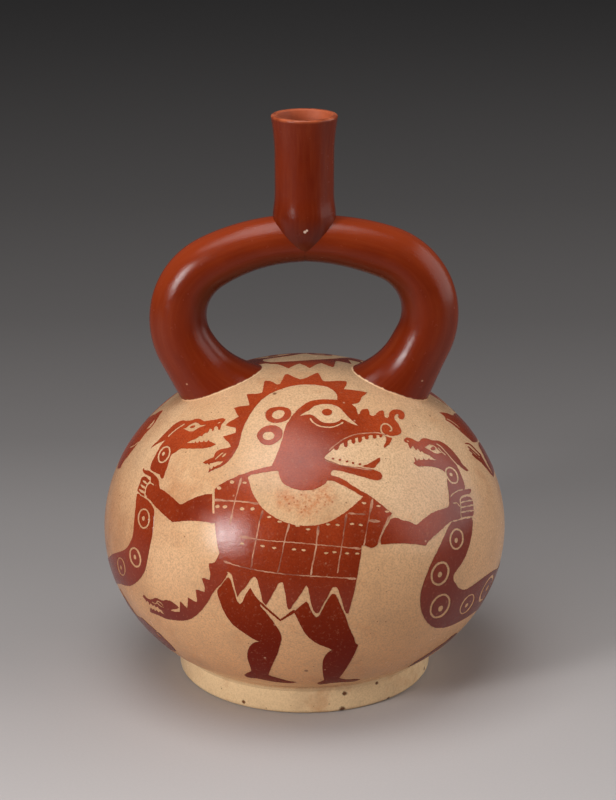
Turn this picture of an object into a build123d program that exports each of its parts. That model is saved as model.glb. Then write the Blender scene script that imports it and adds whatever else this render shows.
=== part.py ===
"""Stirrup-spout bottle of fired clay, in the pieces that the potter makes it from.

A press-moulded lower bowl and upper dome are luted rim to rim. Two tapered tubes are bent into the
arms of a stirrup and let into holes in the dome, and a spout with a rounded nose is seated between
their upper ends. A ring foot is luted under the bowl. Rolls of soft clay seal the joints.

Frame: millimetres, +Z up, origin at the middle of the foot's resting face. The stirrup's arms lie
along X and the painted front faces -Y.
"""

import os
from math import cos, pi, radians, sin, sqrt

from build123d import *

# Chamber
CHAMBER_RADIUS = 89.0  # outside, at the girth seam
SEAM_HEIGHT = 66.2  # girth seam above the resting face
CROWN_RISE = 74.5  # girth seam to the top of the dome, outside
BOWL_SINK = 5.0  # how far under the resting face the bowl's ellipse would end, were its base not flat
BILGE_ANGLE = 40.1  # degrees of the bowl's ellipse before it turns into the flat base
BASE_HEIGHT = 11.0  # underside of the bowl above the resting face
CHAMBER_WALL = 5.0
SEAM_COIL_RADIUS = 3.2  # roll of clay pressed along the inside of the seam

# Foot
FOOT_RADIUS = 56.4  # outside, at the resting face
FOOT_FLARE = 0.6  # how much wider it is where it meets the bowl
FOOT_WALL = 9.5
FOOT_EDGE_ROUND = 2.0
FOOT_COIL_LEG = 2.2  # roll of clay smoothed into the corner of foot and bowl

# Stirrup: its arms are bent by hand, so the right one stands a little higher than the left
STIRRUP_RISE = 56.6  # top of the dome to the centreline of the arch
LEFT_ARCH_RADIUS = 81.0  # centreline over the middle of the stirrup
LEFT_ARCH_ANGLE = 30.0  # degrees from the middle to where the shoulder begins
LEFT_SHOULDER_RADIUS = 28.4  # centreline of the tight bend at the side
LEFT_LEG_SLOPE = 60.0  # degrees below the horizon where the leg enters the dome
RIGHT_ARCH_RADIUS = 104.0
RIGHT_ARCH_ANGLE = 20.0
RIGHT_SHOULDER_RADIUS = 28.4
RIGHT_LEG_SLOPE = 64.0
ARM_TOP_RADIUS = 10.1  # outside, at the middle of the arch
ARM_FOOT_RADIUS = 13.5  # outside, where it enters the dome
ARM_WALL = 3.5
ARM_SECTIONS = 13

# Luting collar round the foot of each arm
COLLAR_RISE = 18.0  # along the arm, above the dome
COLLAR_OVERRUN = 9.0  # along the arm, under the dome's surface, until trimmed
COLLAR_EDGE = 0.3  # thickness all round
COLLAR_REACH = 5.5  # how much thicker it is on the inner side at the dome's surface
COLLAR_CURVE = 2.3  # power at which it thickens towards the dome
COLLAR_SECTIONS = 6

# Spout
SPOUT_LENGTH = 53.5  # centreline of the arch to the rim
SPOUT_RADIUS = 12.6  # outside, at the waist
SPOUT_WALL = 3.1
RIM_RADIUS = 14.3  # outside, at the rim
RIM_WALL = 2.6
RIM_ROUND = 0.9
MOUTH_DEPTH = 18.0  # length of the flare below the rim
NECK_LENGTH = 10.0  # from the waist down to the nose
NOSE_RADIUS = 13.5  # outside, level with the top of the arms
NOSE_DEPTH = 6.1  # lowest point of the nose on the arms' front, below the centreline of the arch
NOSE_SEAT = 1.8  # thickness of the arms' wall left under the nose

# Reach of the control points that make a Bezier curve into a quarter of an ellipse
QUARTER_ELLIPSE = 4 * (sqrt(2) - 1) / 3

# Values worked out from the sizes above
CROWN_HEIGHT = SEAM_HEIGHT + CROWN_RISE
BOWL_DROP = SEAM_HEIGHT + BOWL_SINK  # lower semi-axis of the bowl's wall
ARCH_HEIGHT = CROWN_HEIGHT + STIRRUP_RISE
RIM_HEIGHT = ARCH_HEIGHT + SPOUT_LENGTH
FOOT_TOP_RADIUS = FOOT_RADIUS + FOOT_FLARE


def bilge_arc(radius, drop, base):
    """Start, heading, radius and end of the arc that turns the bowl's wall into its flat base."""
    angle = radians(BILGE_ANGLE)
    start = Vector(radius * cos(angle), SEAM_HEIGHT - drop * sin(angle))
    heading = Vector(-radius * sin(angle), -drop * cos(angle)).normalized()
    arc_radius = (start.Y - base) / (1 + heading.X)
    return start, heading, arc_radius, Vector(start.X + arc_radius * heading.Y, base)


def chamber_solid(inset):
    """The whole chamber as one solid, its surface set in from the outside by inset."""
    radius, rise, drop = CHAMBER_RADIUS - inset, CROWN_RISE - inset, BOWL_DROP - inset
    start, heading, _, end = bilge_arc(radius, drop, BASE_HEIGHT + inset)
    top = SEAM_HEIGHT + rise
    dome_control = (radius, SEAM_HEIGHT + QUARTER_ELLIPSE * rise), (QUARTER_ELLIPSE * radius, top)
    with BuildPart() as chamber:
        with BuildSketch(Plane.YZ):
            with BuildLine():
                Bezier((radius, SEAM_HEIGHT), *dome_control, (0, top))
                EllipticalCenterArc((0, SEAM_HEIGHT), radius, drop, arc_size=-BILGE_ANGLE)
                TangentArc(start, end, tangent=heading)
                Polyline(end, (0, end.Y), (0, top))
            make_face()
        revolve(axis=Axis.Z)
    return chamber.part


def bowl_height(radius):
    """Height of the bowl's outside at a radius on its base or on the arc above the foot."""
    _, _, arc_radius, end = bilge_arc(CHAMBER_RADIUS, BOWL_DROP, BASE_HEIGHT)
    return end.Y + arc_radius - sqrt(arc_radius**2 - max(radius - end.X, 0) ** 2)


class StirrupArm:
    """One arm of the stirrup, its centreline measured from the middle of the arch to the chamber."""

    def __init__(self, name, side, arch_radius, arch_angle, shoulder_radius, leg_slope):
        self.name = name
        self.side = side
        self.arch_radius = arch_radius
        self.shoulder_radius = shoulder_radius
        self.arch_length = arch_radius * radians(arch_angle)
        self.shoulder_length = shoulder_radius * (pi - radians(leg_slope + arch_angle))
        self.length = self.length_to_dome()

    def centreline(self, length):
        """Outward x, z and turn from the horizon at a length along the arm."""
        turn = min(length, self.arch_length) / self.arch_radius
        x = self.arch_radius * sin(turn)
        z = ARCH_HEIGHT - self.arch_radius * (1 - cos(turn))
        around = min(max(length - self.arch_length, 0), self.shoulder_length)
        bent = turn + around / self.shoulder_radius
        x += self.shoulder_radius * (sin(bent) - sin(turn))
        z += self.shoulder_radius * (cos(bent) - cos(turn))
        leg = max(length - self.arch_length - self.shoulder_length, 0)
        return x + leg * cos(bent), z - leg * sin(bent), bent

    def length_to_dome(self):
        """Length along the arm to the outside of the dome."""
        shoulder_end = self.arch_length + self.shoulder_length
        x, z, turn = self.centreline(shoulder_end)
        start = Vector(x / CHAMBER_RADIUS, (z - SEAM_HEIGHT) / CROWN_RISE)
        step = Vector(cos(turn) / CHAMBER_RADIUS, -sin(turn) / CROWN_RISE)
        along, square = start.dot(step), step.dot(step)
        return shoulder_end + (-along - sqrt(along**2 - square * (start.dot(start) - 1))) / square

    def radius(self, length):
        """Outside radius of the arm at a length along it."""
        return ARM_TOP_RADIUS + (ARM_FOOT_RADIUS - ARM_TOP_RADIUS) * length / self.length

    def plane(self, length, lean=0.0):
        """Plane across the arm, moved by lean towards the middle of the stirrup."""
        x, z, turn = self.centreline(length)
        origin = (self.side * (x - lean * sin(turn)), 0, z - lean * cos(turn))
        return Plane(origin, x_dir=(0, 1, 0), z_dir=(self.side * cos(turn), 0, -sin(turn)))

    def solid(self, inset):
        """The arm as one solid from past the middle of the arch into the chamber, set in by inset."""
        first = -ARM_TOP_RADIUS / 2
        last = self.length + ARM_FOOT_RADIUS + 2 * CHAMBER_WALL
        with BuildPart() as arm:
            for step in range(ARM_SECTIONS):
                length = first + (last - first) * step / (ARM_SECTIONS - 1)
                with BuildSketch(self.plane(length)):
                    Circle(self.radius(length) - inset)
            loft()
        return arm.part

    def collar(self):
        """The flare round the arm's foot as one solid, from its upper edge to under the dome."""
        with BuildPart() as collar:
            for step in range(COLLAR_SECTIONS):
                drop = (COLLAR_RISE + COLLAR_OVERRUN) * step / (COLLAR_SECTIONS - 1)
                length = self.length - COLLAR_RISE + drop
                lean = COLLAR_REACH / 2 * (drop / COLLAR_RISE) ** COLLAR_CURVE
                across = self.radius(length) + COLLAR_EDGE
                with BuildSketch(self.plane(length, lean)):
                    Ellipse(across, across + lean)
            loft()
        return collar.part


def spout_solid():
    """The outside of the spout as one solid, from the underside of its nose to the rim."""
    arm_top = ARCH_HEIGHT + ARM_TOP_RADIUS
    waist = arm_top + NECK_LENGTH
    flare = RIM_HEIGHT - MOUTH_DEPTH
    nose_bottom = (0, ARCH_HEIGHT - ARM_TOP_RADIUS + NOSE_SEAT)
    nose_tip = (sqrt(ARM_TOP_RADIUS**2 - NOSE_DEPTH**2), ARCH_HEIGHT - NOSE_DEPTH)
    seam_width = NOSE_RADIUS * NOSE_DEPTH / (ARM_TOP_RADIUS + NOSE_DEPTH)
    nose_side = (sqrt(ARM_TOP_RADIUS**2 + seam_width**2), ARCH_HEIGHT)
    nose_top = (NOSE_RADIUS, arm_top)
    with BuildPart() as spout:
        with BuildSketch(Plane.XZ):
            with BuildLine():
                TangentArc(nose_bottom, nose_tip, tangent=(1, 0))
                nose_slant = Vector(nose_side) - Vector(nose_tip)
                Spline(nose_tip, nose_side, nose_top, (SPOUT_RADIUS, waist), tangents=(nose_slant, (0, 1)))
                Line((SPOUT_RADIUS, waist), (SPOUT_RADIUS, flare))
                TangentArc((SPOUT_RADIUS, flare), (RIM_RADIUS, RIM_HEIGHT), tangent=(0, 1))
                Polyline((RIM_RADIUS, RIM_HEIGHT), (0, RIM_HEIGHT), nose_bottom)
            make_face()
        revolve(axis=Axis.Z)
    return spout.part


chamber_outside = chamber_solid(0)
chamber_inside = chamber_solid(CHAMBER_WALL)
spout_outside = spout_solid()
arms = [
    StirrupArm("left", -1, LEFT_ARCH_RADIUS, LEFT_ARCH_ANGLE, LEFT_SHOULDER_RADIUS, LEFT_LEG_SLOPE),
    StirrupArm("right", 1, RIGHT_ARCH_RADIUS, RIGHT_ARCH_ANGLE, RIGHT_SHOULDER_RADIUS, RIGHT_LEG_SLOPE),
]
arm_outsides = [arm.solid(0) for arm in arms]
arm_bores = [arm.solid(ARM_WALL) for arm in arms]
seam_plane = Plane.XY.offset(SEAM_HEIGHT)
finished = []

# Lower chamber: the moulded bowl, open at the girth seam
with BuildPart() as lower_chamber:
    add(chamber_outside)
    add(chamber_inside, mode=Mode.SUBTRACT)
    split(bisect_by=seam_plane, keep=Keep.BOTTOM)
lower_chamber.part.label = "lower_chamber"
finished.append(lower_chamber.part)

# Upper chamber: the moulded dome, with a hole for each arm
with BuildPart() as upper_chamber:
    add(chamber_outside)
    add(chamber_inside, mode=Mode.SUBTRACT)
    split(bisect_by=seam_plane, keep=Keep.TOP)
    for arm_outside in arm_outsides:
        add(arm_outside, mode=Mode.SUBTRACT)
upper_chamber.part.label = "upper_chamber"
finished.append(upper_chamber.part)

# Seam luting coil: pressed flat against the inside of the chamber, over the girth seam
with BuildPart() as seam_luting_coil:
    with BuildSketch(Plane.XZ):
        with Locations((CHAMBER_RADIUS - CHAMBER_WALL, SEAM_HEIGHT)):
            Circle(SEAM_COIL_RADIUS)
    revolve(axis=Axis.Z)
    add(chamber_inside, mode=Mode.INTERSECT)
seam_luting_coil.part.label = "seam_luting_coil"
finished.append(seam_luting_coil.part)

# Foot ring: its top follows the bowl's underside
with BuildPart() as foot_ring:
    with BuildSketch(Plane.XZ):
        with BuildLine():
            ring_top = bowl_height(FOOT_TOP_RADIUS)
            Polyline(
                (FOOT_RADIUS - FOOT_WALL, 0),
                (FOOT_RADIUS, 0),
                (FOOT_TOP_RADIUS, ring_top),
                (FOOT_TOP_RADIUS - FOOT_WALL, ring_top),
                close=True,
            )
        make_face()
    revolve(axis=Axis.Z)
    fillet(foot_ring.edges().group_by(Axis.Z)[0], FOOT_EDGE_ROUND)
    add(chamber_outside, mode=Mode.SUBTRACT)
foot_ring.part.label = "foot_ring"
finished.append(foot_ring.part)

# Foot luting coil: smoothed slanting into the corner between the foot and the bowl
with BuildPart() as foot_luting_coil:
    with BuildSketch(Plane.XZ):
        with BuildLine():
            coil_outer = FOOT_TOP_RADIUS + FOOT_COIL_LEG
            coil_low = (FOOT_TOP_RADIUS, ring_top - FOOT_COIL_LEG)
            coil_high = (coil_outer, bowl_height(coil_outer))
            coil_back = (FOOT_TOP_RADIUS - FOOT_COIL_LEG, coil_high[1])
            Polyline(coil_low, coil_high, coil_back, close=True)
        make_face()
    revolve(axis=Axis.Z)
    add(foot_ring.part, mode=Mode.SUBTRACT)
    add(chamber_outside, mode=Mode.SUBTRACT)
foot_luting_coil.part.label = "foot_luting_coil"
finished.append(foot_luting_coil.part)

# Spout tube: straight bore below a flared mouth, with a way through to each arm
with BuildPart() as spout_tube:
    add(spout_outside)
    with BuildSketch(Plane.XZ):
        with BuildLine():
            bore_radius = SPOUT_RADIUS - SPOUT_WALL
            bore_bottom = ARCH_HEIGHT + ARM_TOP_RADIUS
            bore_top = (bore_radius, RIM_HEIGHT - MOUTH_DEPTH)
            mouth = (RIM_RADIUS - RIM_WALL, RIM_HEIGHT)
            cup_depth = 2 * ARM_TOP_RADIUS - ARM_WALL
            cup_bottom = (0, bore_bottom - cup_depth)
            cup_side = (bore_radius, bore_bottom - QUARTER_ELLIPSE * cup_depth)
            cup_floor = (QUARTER_ELLIPSE * bore_radius, bore_bottom - cup_depth)
            Bezier((bore_radius, bore_bottom), cup_side, cup_floor, cup_bottom)
            Line((bore_radius, bore_bottom), bore_top)
            TangentArc(bore_top, mouth, tangent=(0, 1))
            Polyline(mouth, (0, RIM_HEIGHT), cup_bottom)
        make_face()
    revolve(axis=Axis.Z, mode=Mode.SUBTRACT)
    fillet(spout_tube.edges().group_by(Axis.Z)[-1], RIM_ROUND)
    for arm_bore in arm_bores:
        add(arm_bore, mode=Mode.SUBTRACT)
spout_tube.part.label = "spout_tube"
finished.append(spout_tube.part)

for arm, arm_outside, arm_bore in zip(arms, arm_outsides, arm_bores):
    # Stirrup arm: seated on the spout's nose, on the other arm and in its hole in the dome
    with BuildPart() as stirrup_arm:
        add(arm_outside)
        add(arm_bore, mode=Mode.SUBTRACT)
        split(bisect_by=Plane.YZ, keep=Keep.TOP if arm.side > 0 else Keep.BOTTOM)
        add(spout_outside, mode=Mode.SUBTRACT)
        add(chamber_inside, mode=Mode.SUBTRACT)
    stirrup_arm.part.label = f"{arm.name}_stirrup_arm"
    finished.append(stirrup_arm.part)

    # Luting collar: round the arm and on the dome, thickest towards the middle of the stirrup
    with BuildPart() as luting_collar:
        add(arm.collar())
        add(arm_outside, mode=Mode.SUBTRACT)
        add(chamber_outside, mode=Mode.SUBTRACT)
    luting_collar.part.label = f"{arm.name}_luting_collar"
    finished.append(luting_collar.part)

os.makedirs("parts", exist_ok=True)
for piece in finished:
    export_step(piece, f"parts/{piece.label}.step")
    print(f"{piece.label}: {len(piece.solids())} solid, {piece.volume:.0f} mm3")
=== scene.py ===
"""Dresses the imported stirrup-spout bottle: burnished slips, the painted figure, light and camera."""

import math

import bpy
import numpy as np
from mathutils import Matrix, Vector, geometry


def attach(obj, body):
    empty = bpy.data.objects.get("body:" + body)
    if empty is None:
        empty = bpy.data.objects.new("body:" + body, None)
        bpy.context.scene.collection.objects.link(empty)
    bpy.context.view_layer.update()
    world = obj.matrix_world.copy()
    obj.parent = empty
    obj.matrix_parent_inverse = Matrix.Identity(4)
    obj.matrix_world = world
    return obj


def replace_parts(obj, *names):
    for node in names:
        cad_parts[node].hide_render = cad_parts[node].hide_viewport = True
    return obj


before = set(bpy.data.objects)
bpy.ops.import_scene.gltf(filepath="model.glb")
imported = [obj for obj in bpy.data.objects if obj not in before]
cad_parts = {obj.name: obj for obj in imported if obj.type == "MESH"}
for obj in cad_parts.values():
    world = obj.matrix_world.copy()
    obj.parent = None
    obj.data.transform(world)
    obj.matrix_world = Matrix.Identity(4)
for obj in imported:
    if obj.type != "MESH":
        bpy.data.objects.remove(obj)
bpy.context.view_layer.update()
scene = bpy.context.scene

# Photograph and camera: pixels of the 616 by 800 frame, degrees and metres
FRAME_WIDTH, FRAME_HEIGHT = 616, 800
AXIS_PIXEL = 304.5  # column of the bottle's axis
LENS_MM, SENSOR_MM = 100.0, 36.0
EYE_DISTANCE, EYE_HEIGHT, EYE_PITCH = 0.92314, 0.43375, 18.535
PIXEL_FOCUS = LENS_MM / SENSOR_MM * FRAME_HEIGHT
DEPTHS = np.linspace(0.75, 1.12, 800)  # distances from the eye at which a ray is tried on the chamber
HALVINGS = 40  # steps that close in on the place where a line meets a surface

# Chamber's outside, as the source has it, in millimetres
MM = 0.001
CHAMBER_RADIUS, SEAM_HEIGHT, CROWN_RISE = 89.0, 66.2, 74.5
BOWL_DROP, BILGE_ANGLE, BASE_HEIGHT = 71.2, 40.1, 11.0
DOME_STEPS, BOWL_STEPS, BASE_STEPS = 500, 250, 120

# Stirrup, as the source has it, in millimetres and degrees
ARCH_HEIGHT = 197.3
ARM_TOP_RADIUS, ARM_FOOT_RADIUS, ARM_WALL = 10.1, 13.5, 3.5
COLLAR_RISE, COLLAR_EDGE, COLLAR_REACH, COLLAR_CURVE = 18.0, 0.3, 5.5, 2.3
COLLAR_SPREAD = 1.5  # how far the slip runs on over the dome at the collar's front and back
ARMS = {  # side, arch radius, arch angle, shoulder radius, leg slope
    "left": (-1, 81.0, 30.0, 28.4, 60.0),
    "right": (1, 104.0, 20.0, 28.4, 64.0),
}
NOSE_WALL_RADIUS, NOSE_WALL_DEPTH = 11.5, 18.4  # middle of the nose's wall, level with the arms' top
ARM_STEPS, ARM_SIDES = 150, 72
ARM_SINK = 0.4  # how far the arms' outside goes on under the dome's surface
ARM_WOBBLE, WOBBLE_LENGTH, WOBBLE_TWIST = 0.12, 9.0, 23.0  # unevenness left by the hand
GRAIN_RADIUS = 12.0  # of the plain tube that the arms' streaks are worked out on

# Painting, in millimetres
PAINT_LIFT, PAINT_ROOT = 0.13, 0.3  # slip above the surface, and its edge turned down below it
PAINT_STEP, PAINT_GRID = 0.8, 4.0  # spacing of points along outlines and inside them
LEAST_STEP, LEAST_GAP, LEAST_AREA = 0.02, 1e-4, 1e-6  # points closer and faces smaller than this are dropped
CORNER_TURN = 55.0  # degrees; an outline stays sharp where it turns by more
BRUSH_WOBBLE = 0.06  # unevenness of the painted edges
LINE_SHARE, RING_SHARE = 0.66, 1.25  # widths of the tunic's lines and the rings, as a share of what is picked
DOT_SHARE, OVAL_SIDES, DOT_LEAN = 0.24, 18, (1, 0.1)
BACK_SHIFT, BACK_DROP = 4.4, 17.0  # how far the back's figure lies towards the front at the crown
BACK_NEAR, BACK_FAR = 110.0, 190.0  # lengths from the crown between which that shift fades out

# Tones of the painting
BARE, RED, PALE, DULL = 0, 1, 2, 3

# Marks of use: places and radii, in metres but for the stains' pixels
STAINS = [((284.5, 499.5), 0.005), ((307, 504), 0.008), ((325, 495), 0.006)]  # orange, under the chin
FOOT_PITS = [
    ((-0.0266, -0.0501, 0.0028), 0.0012), ((0.0312, -0.0473, 0.0107), 0.0011),
    ((0.0172, -0.0540, 0.0088), 0.0013), ((0.0164, -0.0543, 0.0012), 0.0018),
    ((0.0369, -0.0431, 0.0008), 0.0012),
]
CHIP = [((0.0002, -0.0130, 0.2033), 0.0007), ((0.0010, -0.0130, 0.2039), 0.0006)]  # above the arms


def eye_axes():
    """Place of the camera and its right, up and forward directions."""
    pitch = math.radians(EYE_PITCH)
    shift = (FRAME_WIDTH / 2 - AXIS_PIXEL) / PIXEL_FOCUS
    pan = math.atan(shift / math.cos(pitch))
    forward = np.array([math.sin(pan) * math.cos(pitch), math.cos(pan) * math.cos(pitch), -math.sin(pitch)])
    right = np.array([math.cos(pan), -math.sin(pan), 0.0])
    return np.array([0.0, -EYE_DISTANCE, EYE_HEIGHT]), right, np.cross(right, forward), forward


def add_camera():
    eye, _, _, forward = eye_axes()
    data = bpy.data.cameras.new("camera")
    data.sensor_fit, data.sensor_width, data.sensor_height = "VERTICAL", SENSOR_MM, SENSOR_MM
    data.lens = LENS_MM
    data.clip_start = 0.01
    camera = bpy.data.objects.new("camera", data)
    camera.location = eye
    camera.rotation_euler = Vector(forward).to_track_quat("-Z", "Y").to_euler()
    scene.collection.objects.link(camera)
    scene.camera = camera


def halved(low, high, inside):
    """Where a test turns true between low and high."""
    for _ in range(HALVINGS):
        middle = (low + high) / 2
        hit = inside(middle)
        high, low = np.where(hit, middle, high), np.where(hit, low, middle)
    return high


# Chamber's outline

def chamber_meridian():
    """Radius, height, length from the crown and outward normal along the chamber's outside."""
    dome = np.linspace(0, math.pi / 2, DOME_STEPS)
    bowl = np.radians(np.linspace(0, BILGE_ANGLE, BOWL_STEPS))[1:]
    radius = np.concatenate([CHAMBER_RADIUS * np.sin(dome), CHAMBER_RADIUS * np.cos(bowl)])
    height = SEAM_HEIGHT + np.concatenate([CROWN_RISE * np.cos(dome), -BOWL_DROP * np.sin(bowl)])
    heading = np.array([-CHAMBER_RADIUS * math.sin(bowl[-1]), -BOWL_DROP * math.cos(bowl[-1])])
    heading /= np.linalg.norm(heading)
    arc_radius = (height[-1] - BASE_HEIGHT) / (1 + heading[0])
    centre = radius[-1] + arc_radius * heading[1], BASE_HEIGHT + arc_radius
    first = math.atan2(height[-1] - centre[1], radius[-1] - centre[0])
    arc = np.linspace(first, -math.pi / 2, BASE_STEPS)[1:]
    radius = np.concatenate([radius, centre[0] + arc_radius * np.cos(arc)])
    height = np.concatenate([height, centre[1] + arc_radius * np.sin(arc)])
    length = np.concatenate([[0], np.cumsum(np.hypot(np.diff(radius), np.diff(height)))])
    across, down = np.gradient(radius, length), np.gradient(height, length)
    size = np.hypot(across, down)
    return radius, height, length, -down / size, across / size


MERIDIAN = chamber_meridian()


def radius_at(height):
    """Radius of the chamber at heights."""
    return np.interp(height, MERIDIAN[1][::-1], MERIDIAN[0][::-1])


def length_at(radius, height):
    """Length from the crown of points on the chamber."""
    radii, heights, lengths, _, _ = MERIDIAN
    seam = np.argmax(radii)
    near_crown = np.interp(radius, radii[: seam + 1], lengths[: seam + 1])
    lower = np.interp(height, heights[::-1], lengths[::-1])
    return np.where(height > SEAM_HEIGHT + CROWN_RISE / 2, near_crown, lower)


def chart(azimuth, length):
    """Flat map of the chamber: the crown in the middle, the front towards -v."""
    return np.stack([length * np.sin(azimuth), -length * np.cos(azimuth)], -1)


def on_surface(points, lift):
    """Places and normals on the chamber, in metres, for points of the flat map."""
    u, v = points.T
    azimuth = np.arctan2(u, -v)
    radius, height, _, out, rise = (np.interp(np.hypot(u, v), MERIDIAN[2], row) for row in MERIDIAN)
    radius, height = radius + lift * out, height + lift * rise
    side, front = np.sin(azimuth), -np.cos(azimuth)
    places = np.stack([radius * side, radius * front, height], -1) * MM
    return places, np.stack([out * side, out * front, rise], -1)


def from_pixels(pixels):
    """Flat-map points where pixels of the photograph fall on the chamber, or nearest to it."""
    eye, right, up, forward = eye_axes()
    middle = FRAME_WIDTH / 2, FRAME_HEIGHT / 2
    across, down = ((np.asarray(pixels, float) - middle) / PIXEL_FOCUS).T[..., None]
    rays = forward + across * right - down * up

    def gap(depth):
        place = (eye + depth[..., None] * rays[:, None]) / MM
        radius = np.hypot(place[..., 0], place[..., 1])
        return radius - radius_at(place[..., 2]), place, radius

    gaps = gap(DEPTHS[None])[0]
    hit = (gaps < 0).any(1)
    first = np.where(hit, np.argmax(gaps < 0, 1), np.argmin(gaps, 1))
    low = DEPTHS[np.where(hit, np.maximum(first - 1, 0), first)]
    depth = halved(low, DEPTHS[first], lambda tried: gap(tried[:, None])[0][:, 0] < 0)
    _, place, radius = gap(depth[:, None])
    x, y, z = place[:, 0].T
    return chart(np.arctan2(x, -y), length_at(radius[:, 0], z))


def from_angles(pairs):
    """Flat-map points for pairs of azimuth in degrees from the front and height in millimetres."""
    azimuth, height = np.asarray(pairs, float).T
    return chart(np.radians(azimuth), length_at(radius_at(height), height))


# Drawing

def path(*numbers):
    """Points from columns and rows given in turn."""
    return list(zip(numbers[::2], numbers[1::2]))


def smooth(points):
    """A closed outline through points, rounded except where it turns sharply."""
    points = points[np.hypot(*(np.roll(points, -1, 0) - points).T) > LEAST_STEP]
    ends = np.roll(points, -1, 0)
    step = ends - points
    size = np.hypot(*step.T)[:, None]
    heading = step / size
    before = np.roll(heading, 1, 0)
    corner = (heading * before).sum(1) < math.cos(math.radians(CORNER_TURN))
    tangent = heading + before
    tangent /= np.maximum(np.hypot(*tangent.T)[:, None], 1e-9)
    leave = np.where(corner[:, None], heading, tangent) * size
    arrive = np.where(np.roll(corner, -1)[:, None], heading, np.roll(tangent, -1, 0)) * size
    result = []
    for start, end, out, into, length in zip(points, ends, leave, arrive, size[:, 0]):
        t = np.linspace(0, 1, max(1, math.ceil(length / PAINT_STEP)), endpoint=False)[:, None]
        result.append(
            (2 * t**3 - 3 * t**2 + 1) * start
            + (t**3 - 2 * t**2 + t) * out
            + (3 * t**2 - 2 * t**3) * end
            + (t**3 - t**2) * into
        )
    line = np.concatenate(result)
    u, v = line.T  # the waves below are in radians per millimetre
    uneven = np.sin(1.1 * v + 0.6 * u) + np.sin(3.7 * v), np.sin(1.2 * u - 0.7 * v) + np.sin(3.3 * u)
    return line + BRUSH_WOBBLE * np.stack(uneven, -1)


def brush(points, width):
    """Outline of a brush stroke along pixels, with round ends."""
    points = np.asarray(points, float)
    step = np.diff(points, axis=0)
    heading = step / np.hypot(*step.T)[:, None]
    tangent = np.concatenate([heading[:1], heading[:-1] + heading[1:], heading[-1:]])
    tangent /= np.hypot(*tangent.T)[:, None]
    side = np.stack([-tangent[:, 1], tangent[:, 0]], -1) * width / 2
    ahead = tangent * width / 2
    start, end = points[:1] - ahead[:1], points[-1:] + ahead[-1:]
    return np.concatenate([start, points + side, end, (points - side)[::-1]])


def oval(centre, long, short, lean=(1, 0)):
    """Outline of an oval, its long half-axis along lean."""
    along = np.asarray(lean, float) / np.hypot(*lean)
    across = np.array([-along[1], along[0]])
    turn = np.linspace(0, 2 * math.pi, OVAL_SIDES, endpoint=False)[:, None]
    return np.asarray(centre) + long * np.cos(turn) * along + short * np.sin(turn) * across


def eyelet(centre, long, short, lean, line, dot):
    """A ring left bare on a serpent's body, with a dot in it."""
    return [
        (BARE, oval(centre, long, short, lean)),
        (RED, oval(centre, long - RING_SHARE * line, short - RING_SHARE * line, lean)),
        (BARE, oval(dot, long * DOT_SHARE, short * DOT_SHARE, lean)),
    ]


def strokes(tone, width, *lines):
    """Layers for brush strokes of one tone and width."""
    return [(tone, brush(line, width)) for line in lines]


def ovals(tone, long, short, centres, lean=(1, 0)):
    """Layers for ovals of one tone and size."""
    return [(tone, oval(centre, long, short, lean)) for centre in centres]


def drawn(layers, laid=from_pixels):
    """Layers of outlines laid on the flat map and rounded."""
    return [(tone, smooth(laid(outline))) for tone, outline in layers]


# Outlines, picked on the photograph: columns and rows of its pixels in turn
CREST_LEFT = path(
    231, 446.8, 229, 443, 226, 440, 223, 436.7, 227, 435.5, 232, 434.2, 236, 432.5, 236, 430, 235.5, 428,
    233, 427.3, 229, 426.5, 225.5, 425.5, 229, 422.5, 234, 419.5, 239, 416.5, 237, 414, 235.5, 411,
    234, 408.2, 239, 406.8, 245, 406, 249.5, 405.5, 248.5, 401, 247.5, 397.5, 246.5, 394.6, 252, 394,
    258, 393.8, 262.3, 392.8, 263.2, 388, 264, 384,
)
CREST_TOP = path(
    264.3, 381.8, 266, 380.8, 270, 381.2, 274, 383, 277, 384.6, 280, 384.3, 281.5, 381.5, 283.5, 377.5,
    285, 374.6, 287.5, 374.2, 291, 375.8, 295, 377.6, 300.5, 379.6, 306, 378, 312, 375.2, 315.5, 373.6,
    318, 373, 320, 376, 321.8, 379.3, 323.5, 381.3, 330, 381.5, 338, 381, 344, 381.2, 346.8, 381.8,
    346.6, 384, 345, 387,
)
BACK_CREST_TOP = path(  # the back's teeth, as they show over the crown
    264.3, 381.8, 266.5, 379.8, 271, 381, 277.5, 383.5, 283, 379.5, 289, 374.4, 294, 377.5, 299.5, 380.4,
    305, 377.4, 310.3, 374.2, 315.5, 377.6, 321, 381.5, 328, 384.5, 334, 387.6, 340, 388.6,
)
CREST_RIGHT = path(
    343.8, 389.4, 349, 389.9, 356, 390.6, 362, 391.6, 367.3, 392.7, 364, 395.3, 361, 398.2, 360, 401,
    358.3, 402.8, 350, 404, 342, 402.5, 337.3, 400.5, 337.2, 396.5, 335.5, 392.5, 332, 389.5, 328, 387.3,
    320, 385.5, 312, 384.7, 304, 384.6, 296, 385.3, 288, 387, 283, 388.6, 278, 390.2, 272, 393, 266, 396.5,
    261, 400.5, 256, 406, 251, 413, 247, 420, 244, 426, 242, 432, 240.5, 438, 239, 444, 236, 450.5,
    232.5, 456, 229, 460.5, 225.5, 464, 219, 467.5, 213, 470.2, 208, 472.5, 209.3, 470, 210, 467.6,
    210.8, 469.4, 212.6, 468.3, 213.3, 466.2, 214.5, 467.3, 216, 466.3, 221, 463.8, 223.5, 461.2,
    217, 461.8, 212, 463, 210.5, 463.2, 209, 465.2, 207.5, 463.4, 206, 464.3, 203, 462.6, 205.5, 460.8,
    209, 459.3, 213.8, 457.3, 215, 453.5, 217, 451.3, 221, 449.3, 226, 448.5,
)
CREST_EYE = path(215.5, 459, 219, 456, 223, 453)
CREST_BROW = path(222, 457, 226, 453.5)
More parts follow.
